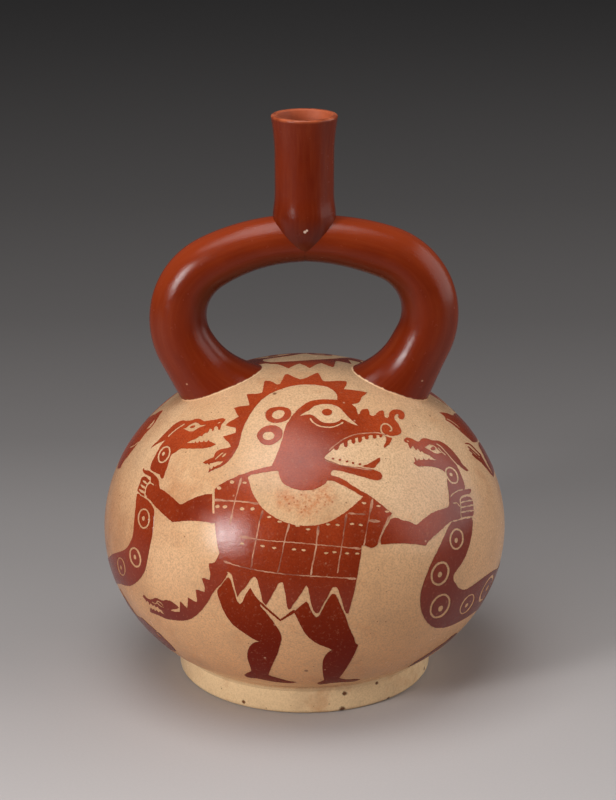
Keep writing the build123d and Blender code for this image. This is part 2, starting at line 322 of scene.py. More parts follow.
HEAD = path(
    242, 474.6, 250, 471.6, 262, 468.2, 272, 465.8, 274, 461, 277, 454, 280, 446, 282.5, 438, 284, 432,
    286, 425.5, 288.5, 421.5, 291, 417.5, 295, 412.5, 298, 409.5, 303, 405.5, 308, 402.5, 311, 401.2,
    317, 400, 325, 399.5, 333, 399.8, 337.3, 400.3, 345, 401, 352, 404.5, 354, 406.5, 356, 408, 356.8, 411,
    357.8, 414.4, 359.8, 413.8, 360.3, 412, 362, 409.8, 365.5, 409, 368, 409.5, 369, 412, 369.8, 414.8,
    371.5, 415.8, 374.5, 415.6, 377, 413, 380, 410.9, 382.5, 410.6, 383.6, 412, 384, 415, 385, 417.3,
    387.5, 418.3, 388.8, 416.5, 389.3, 413, 391.5, 410.5, 395, 409.6, 399.5, 410, 403, 412, 404.6, 415,
    404.2, 417.8, 402, 419.5, 399.3, 418.8, 397.8, 416.6, 399, 415.3, 398, 414.2, 396, 414.5, 394.6, 416.6,
    394.5, 419, 395.5, 420.8, 397.8, 423.5, 399.5, 427, 401.2, 430, 401.3, 432.5, 399, 434.5, 395, 435.8,
    390, 435.8, 386.5, 434.6, 385, 435.4, 382.4, 435.2, 382.4, 436.4, 381, 437.6, 379.5, 437, 379.3, 435.2,
    378, 434.9, 376, 435.3, 376.3, 437.4, 374.8, 438.8, 373, 438, 372.5, 435.2, 370.5, 435.3, 368.5, 435.8,
    368.7, 438, 367, 439.8, 365, 439, 364.5, 436.2, 361.6, 437, 361.8, 441, 360, 442.6, 358.2, 441.5,
    358, 437.6, 355, 438.3, 355, 442.6, 353.5, 444, 352, 443, 351, 439.5, 348, 440.6, 347.5, 445.8,
    346, 447.3, 344, 446.5, 343.5, 442.4, 340, 444.8, 338.5, 448.5, 337, 450.2, 335, 449.8, 334, 448.3,
    330, 452, 326, 455.5, 324, 457.8, 326, 459.5, 332, 461.7, 340, 464.8, 348, 466.2, 358, 467.2,
    366, 468.2, 372, 469.3, 377, 471, 380.5, 473, 382, 476, 381, 479, 377.5, 480.5, 373, 479.8, 366, 477.8,
    356, 475, 346, 472.3, 338, 470.5, 333, 470.4, 330.6, 473.5, 331, 475.3, 336, 476.6, 344, 479.8,
    350, 484, 357, 488.5, 364, 492.5, 369, 495.3, 362.5, 496.2, 356, 492.5, 348, 488, 340, 484, 333, 480.8,
    328, 480.4, 325, 483.6, 320, 487, 313, 489.5, 305, 490.4, 297, 489.6, 290, 487.2, 284, 484, 281, 480,
    279, 474.5, 278, 470.6, 268, 471.8, 258, 473.5, 251, 475, 247.8, 477,
)
UPPER_FANG = path(
    385, 436.2, 388, 437, 391.8, 437.9, 391, 441.5, 389, 444.5, 386.5, 446.3, 384.8, 448, 383.8, 446,
    384.8, 443.5, 386.2, 441, 386.3, 438.3,
)
LOWER_FANG = path(
    362, 466.2, 367, 464.3, 373, 461.3, 378, 458.3, 380, 457.7, 380, 460.5, 378, 463.5, 375, 467.2,
    374, 468, 368, 467.5,
)
LOWER_TEETH = path(333, 458.5, 340, 460, 347, 461.5, 353, 463, 360, 464.5)
NOSE_SCROLL = path(
    385, 435.5, 381.8, 432.5, 380.8, 428.5, 382.3, 425, 385.5, 423.8, 389, 425.2, 391.2, 428, 391.3, 430.6,
    389.8, 431.2,
)
UPPER_LIP = path(
    329, 450.5, 335, 445.5, 341, 441, 347, 437.5, 354, 435, 362, 433.7, 372, 433, 380, 433.3, 385, 435,
)
LOWER_LIP = path(325, 460.3, 332, 462.7, 340, 465.6, 350, 467.2, 362, 468.9, 372, 470)
EYE = path(
    299, 416.5, 303, 413.5, 309, 410.2, 313, 407, 318, 405, 325, 404, 332, 404.6, 338, 406.8, 342, 410,
    345, 413.5, 348, 417, 352, 420.5, 356, 424, 358.5, 425.8, 354, 424.8, 349, 422.5, 345, 420.5,
    341.5, 419.3, 339, 421, 335, 422.6, 329, 423.3, 323, 422.4, 318, 419.5, 314.5, 416.3, 311.5, 415,
    306, 414.8,
)
PUPIL = path(327, 412.3)
UNDER_EYE = path(
    310, 418.5, 313, 422.3, 317, 425, 323, 426.9, 329, 427.3, 335, 426.5, 340, 424.3, 343, 422.4,
)
UPPER_EAR = path(
    265.3, 415, 267, 411, 271, 408.2, 277, 407, 284, 407.2, 289, 409, 291.2, 412.5, 290.8, 416, 288.5, 419,
    284, 421.5, 278, 423, 272.5, 422.8, 268, 420.5,
)
UPPER_EAR_HOLE = path(
    271.8, 416, 272.8, 413.2, 276, 411, 280.5, 410.2, 283.8, 411.2, 284.8, 413.5, 283, 416.5, 279.5, 418.8,
    275, 418.8,
)
LOWER_EAR = path(
    257, 436, 258.5, 431.5, 262, 428.3, 267, 426, 273, 425.3, 278.5, 427, 282, 430, 282.8, 433.5,
    281.5, 437.5, 278.5, 441, 274, 443.8, 268.5, 445.2, 263, 444.2, 259, 440.8,
)
LOWER_EAR_HOLE = path(
    262.8, 436, 264, 433, 267.5, 431.8, 271.5, 432.3, 274, 434.5, 273.8, 437.5, 271, 439.8, 267, 440,
    264, 438.6,
)
TUNIC = path(
    247.8, 476.5, 242, 474.5, 234, 477.8, 226, 481.5, 219, 485.5, 214.8, 489.5, 214.8, 500, 214.5, 512,
    215.5, 530, 218, 547, 219.5, 553, 222, 560, 226, 571, 228.7, 572.3, 231.5, 574, 233, 580, 235, 588,
    237.3, 597, 240, 593, 245, 587.5, 249, 582, 252, 578, 254.5, 576.8, 256.5, 578.5, 259, 586, 261, 594,
    263, 602, 266, 605, 268, 602, 271, 597, 275, 590, 279, 583, 281, 582.2, 283, 582.5, 284.5, 590,
    286, 598, 287, 606, 288, 609, 290, 609, 293, 604.5, 297, 599.5, 302, 592, 305, 587, 306.5, 585.3,
    307.8, 587, 309, 593, 311, 603, 314, 611, 316.5, 613.3, 319, 612.3, 321.5, 607, 325, 601, 329, 594,
    332, 588, 334.5, 586.8, 337, 587.5, 339.5, 594, 342.5, 603, 344.5, 610, 346, 613.3, 348.5, 613.3,
    350, 607, 352.5, 598, 355, 588, 356.3, 580, 357.2, 577, 358.5, 568, 360, 560, 361.3, 550, 361.5, 545.5,
    364, 545.3, 367, 546.5, 373, 547.6, 377, 545, 378.5, 541, 380.5, 536, 385, 525.5, 390, 516.5,
    391.8, 513.3, 386, 508.5, 380, 503.5, 374, 499, 369, 495.3, 362, 493.5, 352, 487.5, 342, 481.8,
    334, 478.7, 328, 478, 300, 475, 278, 471,
)
COLLAR = path(
    247.8, 477, 249.5, 483, 251.5, 490, 254.5, 496.5, 258, 502.5, 263, 508.5, 269, 513.5, 277, 518.5,
    286, 522.5, 296, 525, 306, 525.8, 316, 525.2, 326, 522.8, 335, 518.8, 343, 513.8, 350, 508.5,
    357, 502.5, 361, 499, 363, 496, 356, 492.5, 348, 488, 340, 484, 333, 480.8, 328, 480.4, 320, 478,
    300, 474, 284, 474, 279, 471, 268, 471.8, 258, 473.5, 251, 475,
)
TUNIC_LINES = [  # width, pixels
    (1.6, path(241.5, 478, 238, 490, 235, 501, 232.5, 512, 230, 524)),
    (1.8, path(263, 510.5, 260, 520, 257.5, 533, 255, 545, 252.5, 557, 251, 567.5)),
    (1.6, path(289.5, 523.5, 286.5, 534, 284.5, 541, 282.5, 552, 280, 563, 277.8, 572)),
    (2.2, path(318.5, 526, 317, 538, 316, 547, 314, 558, 311.5, 570, 311, 574.5)),
    (1.7, path(346.5, 514, 344.5, 527, 342.5, 541, 340.5, 553, 338.5, 565, 337.5, 573)),
    (1.4, path(372.5, 499, 369, 517, 366, 533, 363.5, 545.5)),
    (1.6, path(390, 515.8, 385, 525, 380.5, 536, 378, 543)),
    (2.2, path(214, 500, 225, 500.7, 240, 501.5, 250, 502.5, 258, 504)),
    (1.5, path(
        240, 536.5, 255, 539, 270, 540.8, 284, 541.8, 300, 543, 318, 544.8, 335, 546.2, 350, 547.8,
        361, 548.6,
    )),
    (1.5, path(348, 513.3, 357, 514, 365, 514.5)),
    (1.2, path(368, 520.5, 380, 521.5)),
    (1.6, path(
        224, 561, 232, 564, 245, 567.5, 262, 571, 280, 573.5, 300, 575.3, 325, 576.8, 345, 578, 356, 578.8,
    )),
]
TUNIC_DOTS = path(219, 488, 232, 482, 217.5, 506.5, 225, 506.8, 242, 508.8, 252.5, 508.8)
TUNIC_DASHES = path(
    244.5, 482.8, 269, 517, 279.5, 521.8, 297.5, 525.8, 308, 529.3, 328, 524.2, 337.5, 524.8, 352, 523.8,
    360.5, 524.8, 364, 503, 378.5, 506, 387, 511.5, 262.5, 546, 274, 547.8, 294, 549.2, 303.5, 550,
    326, 553, 334.5, 552, 347, 553.3, 357, 553.3, 242, 543.5,
)
LEFT_LEG = path(
    217.5, 590.5, 221, 585.5, 225.5, 579.5, 228, 577.2, 230.3, 579.5, 232.5, 586, 235, 594.5, 237.5, 601.5,
    239.8, 604.2, 242.3, 602, 244.5, 596.5, 247.5, 591.8, 250.3, 587.8, 252, 590.8, 256, 597, 260, 602,
    260, 605.5, 265, 611, 270, 617.5, 275, 624.5, 278.5, 629.5, 280.7, 634, 281.5, 640, 280.5, 643,
    279, 649, 277, 655, 274, 661, 271, 668, 268.5, 675, 274, 676.8, 281, 678.8, 288, 680.8, 296.5, 682,
    292, 682.8, 284, 682.6, 276, 681.8, 267, 680.2, 258, 678.4, 250, 677.5, 246, 676.3, 244.3, 674.8,
    247, 673, 251.5, 671, 250.3, 666.5, 248.5, 661.5, 247.3, 656, 248, 650.5, 250, 646, 253.5, 643,
    257, 641.9, 260, 641.5, 257, 640.6, 252, 638, 246, 634, 240, 630, 233, 624.5, 228, 618, 223.5, 610.5,
    220.5, 602.5, 218, 595.5,
)
RIGHT_LEG = path(
    294, 612, 298, 608, 303, 604, 306.5, 601.5, 308, 603, 310, 608.5, 313, 614, 316, 617.5, 319, 615.5,
    322, 610, 326, 602.5, 329.5, 597, 332.5, 593.8, 335, 594.3, 337.5, 598, 340, 604, 343, 611, 346, 618,
    348, 624, 351, 631.5, 354, 638, 355.5, 643, 358, 644.8, 356.5, 649, 354, 654.5, 350, 662, 345, 670,
    339, 678, 344, 679.2, 350, 679.4, 355, 679, 360, 679.2, 356, 680.8, 349, 681.8, 341, 682, 332, 682.8,
    324, 683.8, 318.5, 684, 317.2, 683, 321, 681.5, 324, 680, 323, 674, 322.5, 668, 322.8, 662, 324.5, 657,
    327.5, 653, 332, 649.8, 328, 647.8, 320, 644.8, 313, 640.8, 307, 635.5, 303, 630, 300, 624, 297, 618,
)
LEG_STRING = path(259.5, 602.5, 266, 608, 273, 614, 280.5, 620.3, 286, 616.5, 294.5, 610.8)
TAIL = path(
    219.5, 553, 217, 558.5, 214.5, 562.3, 208.8, 563.3, 209.3, 568, 210.3, 573.5, 209.8, 579.6, 207, 579,
    204, 578, 202, 578, 203, 582, 205, 588, 204.8, 592, 201, 590.8, 198, 589.7, 195.7, 590, 196.5, 596,
    197.3, 600.5, 196.5, 602, 193, 600.5, 190, 598.5, 188, 597.2, 187.9, 602, 187.5, 608.2, 184.5, 605.5,
    182, 603, 180, 601.5, 180, 606, 179.8, 611.8, 175, 611.8, 172, 611, 170.5, 610.2, 173, 609.2,
    177, 608.9, 179, 607.5, 175, 604, 171, 601.3, 166, 600, 162, 600.5, 158, 598.5, 155, 597.8, 152.5, 599,
    149, 599, 146, 597.2, 144, 595, 143, 596.3, 144.5, 598.5, 146, 600, 146.3, 601.8, 147.5, 600.8,
    149, 602.5, 149.5, 604.8, 151, 603.5, 153, 605.6, 154.5, 604.9, 156, 607.2, 158, 606.8, 159.5, 609,
    161.5, 610, 163, 612.5, 164.5, 614.2, 161.5, 613, 160, 611.4, 158.5, 612.3, 156.8, 610.4, 155.2, 611,
    153.8, 608.8, 152.4, 609.4, 150.8, 607.4, 150.2, 609.5, 150.6, 612, 155.1, 613.9, 160.4, 615.9,
    166.6, 618.7, 174, 620, 181, 620.6, 188, 619.8, 194, 617, 200, 612, 205, 606, 209, 600, 212, 594.5,
    215, 590, 221, 584, 225, 578.5, 228, 573.5, 226, 571, 222, 560,
)
TAIL_LINES = [
    path(152.3, 602, 155, 603.8, 157.5, 601.8),
    path(157, 601, 161, 603, 164.5, 607.8, 160.5, 605.8, 157.5, 603.2),
]
LEFT_ARM = path(
    212.3, 494, 207, 494.2, 199, 496.2, 190, 500, 184, 503.2, 180.5, 504.3, 177, 501.5, 170, 495.5,
    164, 490.5, 160, 488.5, 159.3, 485, 158.8, 480.5, 157, 477.5, 154.5, 474.5, 151.5, 472.3, 148, 470.5,
    144.8, 470, 143.8, 468, 143, 470, 143.5, 472.3, 146, 474.5, 149, 476, 151, 477.3, 150.8, 480.5,
    151.2, 483.2, 149.3, 484, 147, 487, 145.8, 492, 146.2, 496.3, 150, 500, 155, 506, 160, 511, 166, 516.5,
    172.5, 521.8, 180, 521.3, 190, 520.8, 200, 521.3, 208, 522.5, 213, 523.5, 216, 523.5, 216, 514,
    212.4, 513,
)
LEFT_FINGERS = path(
    142, 477.5, 145, 476.4, 148, 478.8, 149.8, 480.6, 147.5, 483.3, 146.3, 485.5, 145, 489.3, 144.4, 493,
    144.6, 496.6, 141.5, 495, 137.5, 490.5, 138.5, 487, 140, 483.5, 141, 480,
)
LEFT_HAND_LINES = [
    path(143, 480.7, 147, 484),
    path(140.8, 484.8, 145.8, 488.6),
    path(139.3, 489.3, 144.8, 493.6),
    path(149, 483.6, 151.5, 483.3, 154, 485),
]
LEFT_SERPENT_HEAD = path(
    151, 448, 154, 444.5, 159, 440, 164, 434.5, 169, 429.5, 174, 425, 179, 421.8, 183, 420.6, 187, 421,
    191, 420.6, 195, 419.2, 199, 419, 202, 419.8, 204, 421.3, 208, 420.8, 214, 420, 219, 418.9,
    222.5, 418.3, 225.5, 419.3, 225, 421, 223, 423, 221.5, 424.3, 221, 426.5, 220.3, 429.5, 218.5, 430,
    217.5, 426.8, 216, 426.2, 214.5, 427, 213.7, 430.5, 212.3, 431, 211.8, 429, 210, 428.5, 208.5, 431.5,
    207, 433.5, 206, 432.6, 204, 434, 202, 436.5, 200.8, 435.8, 199, 436.6, 196, 438.8, 190, 441,
    186.5, 443, 190, 443.2, 194.3, 443.2, 195.5, 441.3, 196.5, 443, 198.5, 442.4, 199.5, 440.6,
    200.5, 442.4, 203, 442, 204, 440.4, 205, 442, 207.5, 441.6, 209, 440, 210, 441.8, 212, 442.3,
    213.5, 443.2, 216, 444.2, 212, 446.3, 206, 448, 198, 448.5, 188, 448.6, 180, 449, 177, 451, 174.5, 453,
    172, 454.2, 170.8, 456, 169.5, 460, 168, 465, 166.5, 469.5, 165, 473, 163.8, 477.5, 162.3, 478.8,
    160.5, 477.5, 160, 475, 157.5, 473.3, 154, 472, 151.5, 470.5, 150.5, 468.5, 151, 465.5, 152.5, 461,
    154.5, 457.5, 156.5, 453.5, 159, 449, 161, 445.5, 163.5, 442.5, 165.8, 440, 162, 441.6, 158, 443.6,
    154, 446,
)
LEFT_SERPENT_EAR = path(168.5, 436.5, 172, 433, 177, 429, 181, 426.3, 184.5, 424)
LEFT_SERPENT_EYE = path(
    183, 428.8, 186, 428, 189, 425.5, 192.5, 423.5, 196, 422.5, 198.5, 423.3, 200, 425, 203, 425.2,
    206.5, 424.3, 204, 426, 200, 427.5, 197, 429, 193.5, 431.2, 190, 431.6, 187, 430.3,
)
LEFT_SERPENT_PUPIL = path(189.7, 427.2, 192.5, 425.8, 195.2, 425.6, 194.3, 427.3, 191, 428.2)
LEFT_SERPENT_NOSTRIL = path(217, 423.8, 219, 422.3, 221, 421.9, 220, 423.3)
LEFT_SERPENT_INNER = path(  # from the hand down to the girth
    138, 493.8, 141, 495.8, 145, 498, 149, 501.5, 152.5, 506, 154, 510, 154.3, 514, 153.8, 520, 153, 530,
    151.8, 538, 150.3, 545, 148.8, 553, 147.5, 559, 146.5, 565, 145, 570.5, 142, 576, 138, 580.8,
    133.5, 584.3, 129.5, 585.8, 125, 585.3, 121, 583.8,
)
LEFT_SERPENT_END = path(  # azimuths in degrees and heights in millimetres, as on the right
    -70, 49.8, -76, 46.3, -82, 44, -86.5, 46.5, -85, 51, -80, 55.5, -73.5, 60.6,
)
LEFT_SERPENT_OUTER = path(
    116, 552.8, 121, 551.5, 125, 549.5, 128, 546.5, 131, 541, 133, 535, 133.8, 528, 134.5, 520, 135.3, 512,
    136, 504, 136.5, 498, 137, 494.5,
)
LEFT_RINGS = [  # centre, half-axes, lean, line, dot
    ((164.2, 454.6), 9.2, 5.6, (0.45, -0.9), 1.3, (163.6, 453.8)),
    ((144, 518.5), 10.3, 6.2, (0, 1), 1.3, (143.6, 518.3)),
    ((135.3, 557.3), 10.5, 5.8, (0.25, 1), 1.5, (135, 557)),
    ((121.4, 566.5), 9.5, 3.9, (0.2, 1), 1.0, (121, 567.5)),
]
RIGHT_ARM = path(
    390.5, 519.5, 393, 517.8, 397, 518, 402, 520, 408, 521.3, 412, 522.8, 416.5, 524.8, 420, 522, 425, 518,
    432, 513, 438, 510.3, 443, 508.8, 447.5, 507.3, 449.3, 504, 449.2, 498, 451, 496.6, 455, 493, 459, 491,
    464, 489.8, 468, 489, 470.5, 489, 471, 491, 469.5, 493.5, 466, 494.5, 463, 495.3, 460.3, 497.8,
    459.3, 500.5, 460, 504, 460.5, 508, 460.3, 513, 460.8, 517.5, 459, 519.2, 454, 520.6, 450, 522,
    446, 525.3, 440, 531, 433, 537, 428, 542, 425.5, 545.5, 421, 544.8, 413, 544, 404, 543.5, 395, 543.5,
    388, 544, 381, 544.5, 380.5, 541, 384.5, 530, 388.5, 523,
)
RIGHT_FINGERS = path(
    460.8, 500, 463, 497.8, 467, 496.5, 470.5, 497.5, 472, 499.5, 472.8, 503, 473.3, 508, 473.6, 512,
    472.5, 515.8, 469, 516.3, 464, 517, 461.6, 517.5, 461.2, 513, 461.4, 508, 461, 504,
)
RIGHT_HAND_LINES = [
    path(460.5, 502.6, 466, 501.2, 472.3, 500.5),
    path(461, 507.5, 467, 506.3, 473.2, 505),
    path(461.3, 512.4, 467, 511, 473.5, 510.6),
    path(453, 503.2, 457.5, 503.4, 459.8, 506.5),
    path(450.5, 496.5, 454, 493, 459, 490.3, 463, 489.5),
    path(470, 517.5, 464, 518.3, 458, 520, 453, 521),
]
RIGHT_SERPENT_HEAD = path(
    403.5, 440, 405, 438.3, 408, 437.6, 412, 439, 416, 441, 419, 441.5, 420.5, 439.8, 423, 438.2,
    427, 438.6, 431, 440.2, 435, 440.5, 439, 441, 443, 443, 448, 446.5, 452, 450.5, 456, 455, 460, 460.5,
    462.5, 464.5, 465.5, 467.5, 468.3, 470.5, 467, 471.3, 464.5, 470, 461, 467.3, 458.5, 464.8, 456.5, 464,
    457.2, 467, 459.5, 471.5, 461.7, 477, 463.5, 482, 464.8, 487.5, 464.5, 489.3, 459, 490.4, 455, 492,
    451.5, 495, 449.2, 498, 448.5, 492, 447.5, 484, 446.6, 477, 445.5, 472.8, 442, 470, 438, 468,
    432, 466.8, 424, 466.2, 417, 466, 414.5, 464, 413.5, 463, 415, 461, 414, 457.5, 415, 457.5,
    416.5, 460.5, 418, 460.3, 419, 458, 420, 460.3, 422.5, 460, 423.5, 458, 424.5, 459.8, 427, 460,
    429, 458.4, 429.8, 459.6, 433, 459.8, 437, 460.6, 434, 458.8, 432, 457.3, 429, 455.2, 426, 454,
    424, 453, 422, 451, 420.5, 452, 419, 450, 417.5, 448.8, 416, 450.5, 414.3, 448, 413, 445.5, 411.5, 447,
    410.5, 449, 409, 446.5, 408, 443.5, 405, 442,
)
RIGHT_SERPENT_NOSTRIL = path(406, 440, 408, 440.5, 409.5, 442, 407.5, 442)
RIGHT_SERPENT_EYE = path(
    424.5, 447.5, 427, 446, 429, 444.5, 432, 444.8, 435, 446.3, 437.5, 449, 440, 451.5, 442, 452.5,
    438, 453.5, 434, 453, 430, 450.5, 427, 448.8,
)
RIGHT_SERPENT_PUPIL = path(433, 448.5)
RIGHT_SERPENT_HAIR = [
    path(436.5, 444, 441, 447, 445, 451.3, 449, 455.8, 453, 460.5, 457, 465, 460, 468.5),
    path(438, 448, 442, 452, 445.3, 455),
]
RIGHT_SERPENT_INNER = path(
    452.5, 521.5, 449.5, 525, 446, 532, 442, 541, 438, 549.5, 434, 557.5, 430, 566, 426.5, 575, 423.5, 583,
    421.3, 591, 420.3, 599, 420.7, 607, 422.5, 614, 425.5, 620, 429.5, 624.5, 434, 627.3, 440, 627.8,
    447, 626.8, 453, 624.5, 460, 621, 467, 617, 474, 612,
)
RIGHT_SERPENT_END = path(69, 37.8, 76, 37.5, 83, 40, 87.5, 45.5, 86.5, 50.5, 81.5, 53.2, 76, 53.6)
RIGHT_SERPENT_OUTER = path(
    494, 570.3, 490, 572.8, 484, 577, 478, 581.5, 471, 586.5, 466, 589.3, 462, 589.5, 458.5, 587.5,
    455.5, 583.5, 453.3, 579, 453.5, 575.5, 456, 571, 460, 565.5, 464, 559, 467, 552, 469.5, 544,
    471.3, 536, 472.3, 528, 472.6, 521, 471.5, 517.5, 466, 518.5, 460, 520,
)
RIGHT_RINGS = [
    ((451.8, 475.3), 9.3, 5.9, (0.48, 0.87), 1.3, (451, 474.5)),
    ((456.5, 539), 10.8, 7.2, (0.1, -1), 1.5, (456, 540.3)),
    ((440, 573.5), 12.6, 9, (0.4, -1), 1.8, (440, 574.5)),
    ((440, 606), 13.5, 9, (14, -22), 1.7, (440.5, 608.5)),
    ((467, 604), 11.5, 5, (12.5, -19.5), 1.1, (466.5, 605.3)),
]
LAST_RING = (65.9, 49.8), 6.0, 5.3, (0, 1), 1.05, (66.2, 49.8)  # degrees and millimetres

# Motifs at the edges of the view: what shows of them, then the edge from which they go on out of sight
RIGHT_SNOUT = path(
    453, 415.6, 447, 413.4, 443, 412.7, 439.3, 412.6, 442.6, 414.8, 444.8, 417, 445.5, 420, 451.4, 423.6,
    457.2, 428.4, 462.4, 433.2, 467.5, 437.6, 472.3, 441.6, 474.8, 442.3,
)
RIGHT_SNOUT_EDGE = path(477.5, 440.5, 470.2, 431.7, 460.7, 421.8, 454.5, 416.8)
RIGHT_SNOUT_LINE = path(446.5, 419, 451.5, 421.5, 456, 424.8, 459, 427.6)
RIGHT_SLEEVE = path(
    478.5, 442.5, 479.3, 447, 482, 452.5, 485, 458.5, 487.8, 464.5, 490.5, 469.5, 493.5, 476.8,
)
RIGHT_SLEEVE_EDGE = path(493.9, 471, 491.4, 464.2, 488.5, 458.3, 484.8, 451.7, 481.2, 445.8)
RIGHT_FOREARM = path(
    479.5, 457, 480.5, 454.5, 483.3, 459.5, 486.4, 465, 490.2, 470.8, 493.5, 476.8, 490.8, 474.2,
    487, 469.3, 483, 464.8, 480.6, 461.8,
)
RIGHT_FAR_FINGERS = [
    path(465.3, 443.4, 470.4, 444.9, 476.3, 450.8, 480.5, 455),
    path(467.9, 446.7, 472.6, 450.8, 479.5, 457),
    path(469.3, 449.9, 473.4, 453.9, 480, 459.5),
    path(472.3, 454.6, 476.3, 458.1, 480.8, 461.6),
]
RIGHT_HEM = path(408, 667, 415, 661.8, 425, 655.8, 435, 648.8, 445, 641.8, 452, 636)
LEFT_SNOUT = path(
    155.3, 414.4, 159.3, 411.7, 162.7, 410.4, 160.9, 413.3, 158, 417.7, 154.3, 423.6, 150.6, 428,
    145.5, 433.5, 139.6, 441.2, 136, 445.6, 131.5, 451.5, 127.1, 457.4, 123.5, 461.8, 120.5, 468,
)
LEFT_SNOUT_EDGE = path(117.8, 471.5, 120.8, 462.7, 129.6, 445.1, 139.9, 430.4, 151.6, 417.9)
LEFT_SNOUT_EYE = path(155, 419.2, 151.4, 423.2, 146, 430, 150.6, 427.3, 153.9, 422.9)
LEFT_SNOUT_LINE = path(138.9, 442, 135, 445, 130, 447.8)
LEFT_HEM = path(
    119.9, 588.7, 126, 599.2, 131.5, 607.7, 136, 614.2, 139.5, 617, 142.8, 618.4, 149, 624.3, 155.1, 629.6,
    161.2, 634.4, 165.8, 639.6, 171.2, 644.9, 176.5, 651,
)
LEFT_HEM_EDGE = path(175.7, 652.4, 165.2, 643.2, 152.2, 632.5, 137, 614.5, 127, 599)
LEFT_HEM_LINES = [
    path(155.8, 631.3, 159.5, 632.8, 162.8, 635.9, 165.3, 638.8),
    path(156.5, 632.8, 161, 637.5),
]
EDGE_MOTIFS = [  # side, what shows, edge of the view
    (1, RIGHT_SNOUT, RIGHT_SNOUT_EDGE), (1, RIGHT_SLEEVE, RIGHT_SLEEVE_EDGE), (1, RIGHT_HEM, RIGHT_HEM[::-1]),
    (-1, LEFT_SNOUT, LEFT_SNOUT_EDGE), (-1, LEFT_HEM, LEFT_HEM_EDGE),
]
OUT_OF_SIGHT, BULGE = 3.0, 7.5  # degrees that they go on behind that edge, and round out there


def serpent(inner, end, outer, rings):
    """A serpent's body, with an end that is out of sight, and the rings on it."""
    body = np.concatenate([from_pixels(inner), from_angles(end), from_pixels(outer)])
    return [(RED, smooth(body))] + drawn([layer for ring in rings for layer in eyelet(*ring)])


def figure(crest_top):
    """The painted being with its serpents, in the order that it is painted."""
    being = [(RED, CREST_LEFT + crest_top + CREST_RIGHT)]
    being += strokes(BARE, 1.2, CREST_EYE) + strokes(BARE, 0.9, CREST_BROW)
    being += [(RED, TUNIC), (BARE, COLLAR), (RED, HEAD), (RED, UPPER_FANG), (RED, LOWER_FANG)]
    being += ovals(RED, 1.3, 1.0, LOWER_TEETH) + strokes(BARE, 1.6, NOSE_SCROLL)
    being += strokes(PALE, 1.0, UPPER_LIP) + strokes(PALE, 0.9, LOWER_LIP)
    being += [(BARE, EYE)] + ovals(RED, 5.2, 3.3, PUPIL) + strokes(BARE, 1.3, UNDER_EYE)
    being += [(RED, UPPER_EAR), (BARE, UPPER_EAR_HOLE), (RED, LOWER_EAR), (BARE, LOWER_EAR_HOLE)]
    for width, line in TUNIC_LINES:
        being += strokes(PALE, width * LINE_SHARE, line)
    being += ovals(BARE, 2.3, 1.7, TUNIC_DOTS, DOT_LEAN) + ovals(BARE, 2.3, 1.1, TUNIC_DASHES, DOT_LEAN)
    being += [(DULL, LEFT_LEG), (DULL, RIGHT_LEG)] + strokes(DULL, 1.8, LEG_STRING)
    being += [(RED, TAIL)] + strokes(BARE, 0.9, *TAIL_LINES)
    left_head = [(RED, LEFT_SERPENT_HEAD)] + strokes(BARE, 1.2, LEFT_SERPENT_EAR)
    left_head += [(BARE, LEFT_SERPENT_EYE), (RED, LEFT_SERPENT_PUPIL), (BARE, LEFT_SERPENT_NOSTRIL)]
    left_hand = [(RED, LEFT_ARM), (RED, LEFT_FINGERS)] + strokes(BARE, 0.9, *LEFT_HAND_LINES)
    right_head = [(RED, RIGHT_SERPENT_HEAD), (BARE, RIGHT_SERPENT_NOSTRIL), (BARE, RIGHT_SERPENT_EYE)]
    right_head += ovals(RED, 2.4, 1.9, RIGHT_SERPENT_PUPIL) + strokes(BARE, 1.1, *RIGHT_SERPENT_HAIR)
    right_hand = [(RED, RIGHT_ARM), (RED, RIGHT_FINGERS)] + strokes(BARE, 0.9, *RIGHT_HAND_LINES)
    return (
        drawn(being + left_head)
        + serpent(LEFT_SERPENT_INNER, LEFT_SERPENT_END, LEFT_SERPENT_OUTER, LEFT_RINGS)
        + drawn(left_hand + right_head)
        + serpent(RIGHT_SERPENT_INNER, RIGHT_SERPENT_END, RIGHT_SERPENT_OUTER, RIGHT_RINGS)
        + drawn(eyelet(*LAST_RING), from_angles)
        + drawn(right_hand)
    )


def turned(points, degrees):
    """Flat-map points turned about the crown, to the right as seen from the front."""
    angle = np.radians(degrees)
    u, v = points.T
    return np.stack([u * np.cos(angle) - v * np.sin(angle), u * np.sin(angle) + v * np.cos(angle)], -1)


def edge_motifs():
    """Parts of the back's painting that show at the edges of the view."""
    layers = []
    for side, shown, edge in EDGE_MOTIFS:
        behind = OUT_OF_SIGHT + BULGE * np.sin(np.linspace(0, math.pi, len(edge)))
        outline = np.concatenate([from_pixels(shown), turned(from_pixels(edge), side * behind)])
        layers.append((RED, smooth(outline)))
    marks = [(RED, RIGHT_FOREARM)] + strokes(RED, 1.0, *RIGHT_FAR_FINGERS)
    marks += strokes(BARE, 0.8, RIGHT_SNOUT_LINE) + [(BARE, LEFT_SNOUT_EYE)]
    marks += strokes(BARE, 0.9, LEFT_SNOUT_LINE) + strokes(BARE, 0.8, *LEFT_HEM_LINES)
    return layers + drawn(marks)


def turned_to_back(layers):
    """The same layers on the other side, drawn towards the front over the crown."""
    result = []
    for tone, outline in layers:
        fade = np.clip((BACK_FAR - np.hypot(*outline.T)) / (BACK_FAR - BACK_NEAR), 0, 1)
        fade = (fade**2 * (3 - 2 * fade))[:, None]
        result.append((tone, -outline - fade * np.array([BACK_SHIFT, BACK_DROP])))
    return result


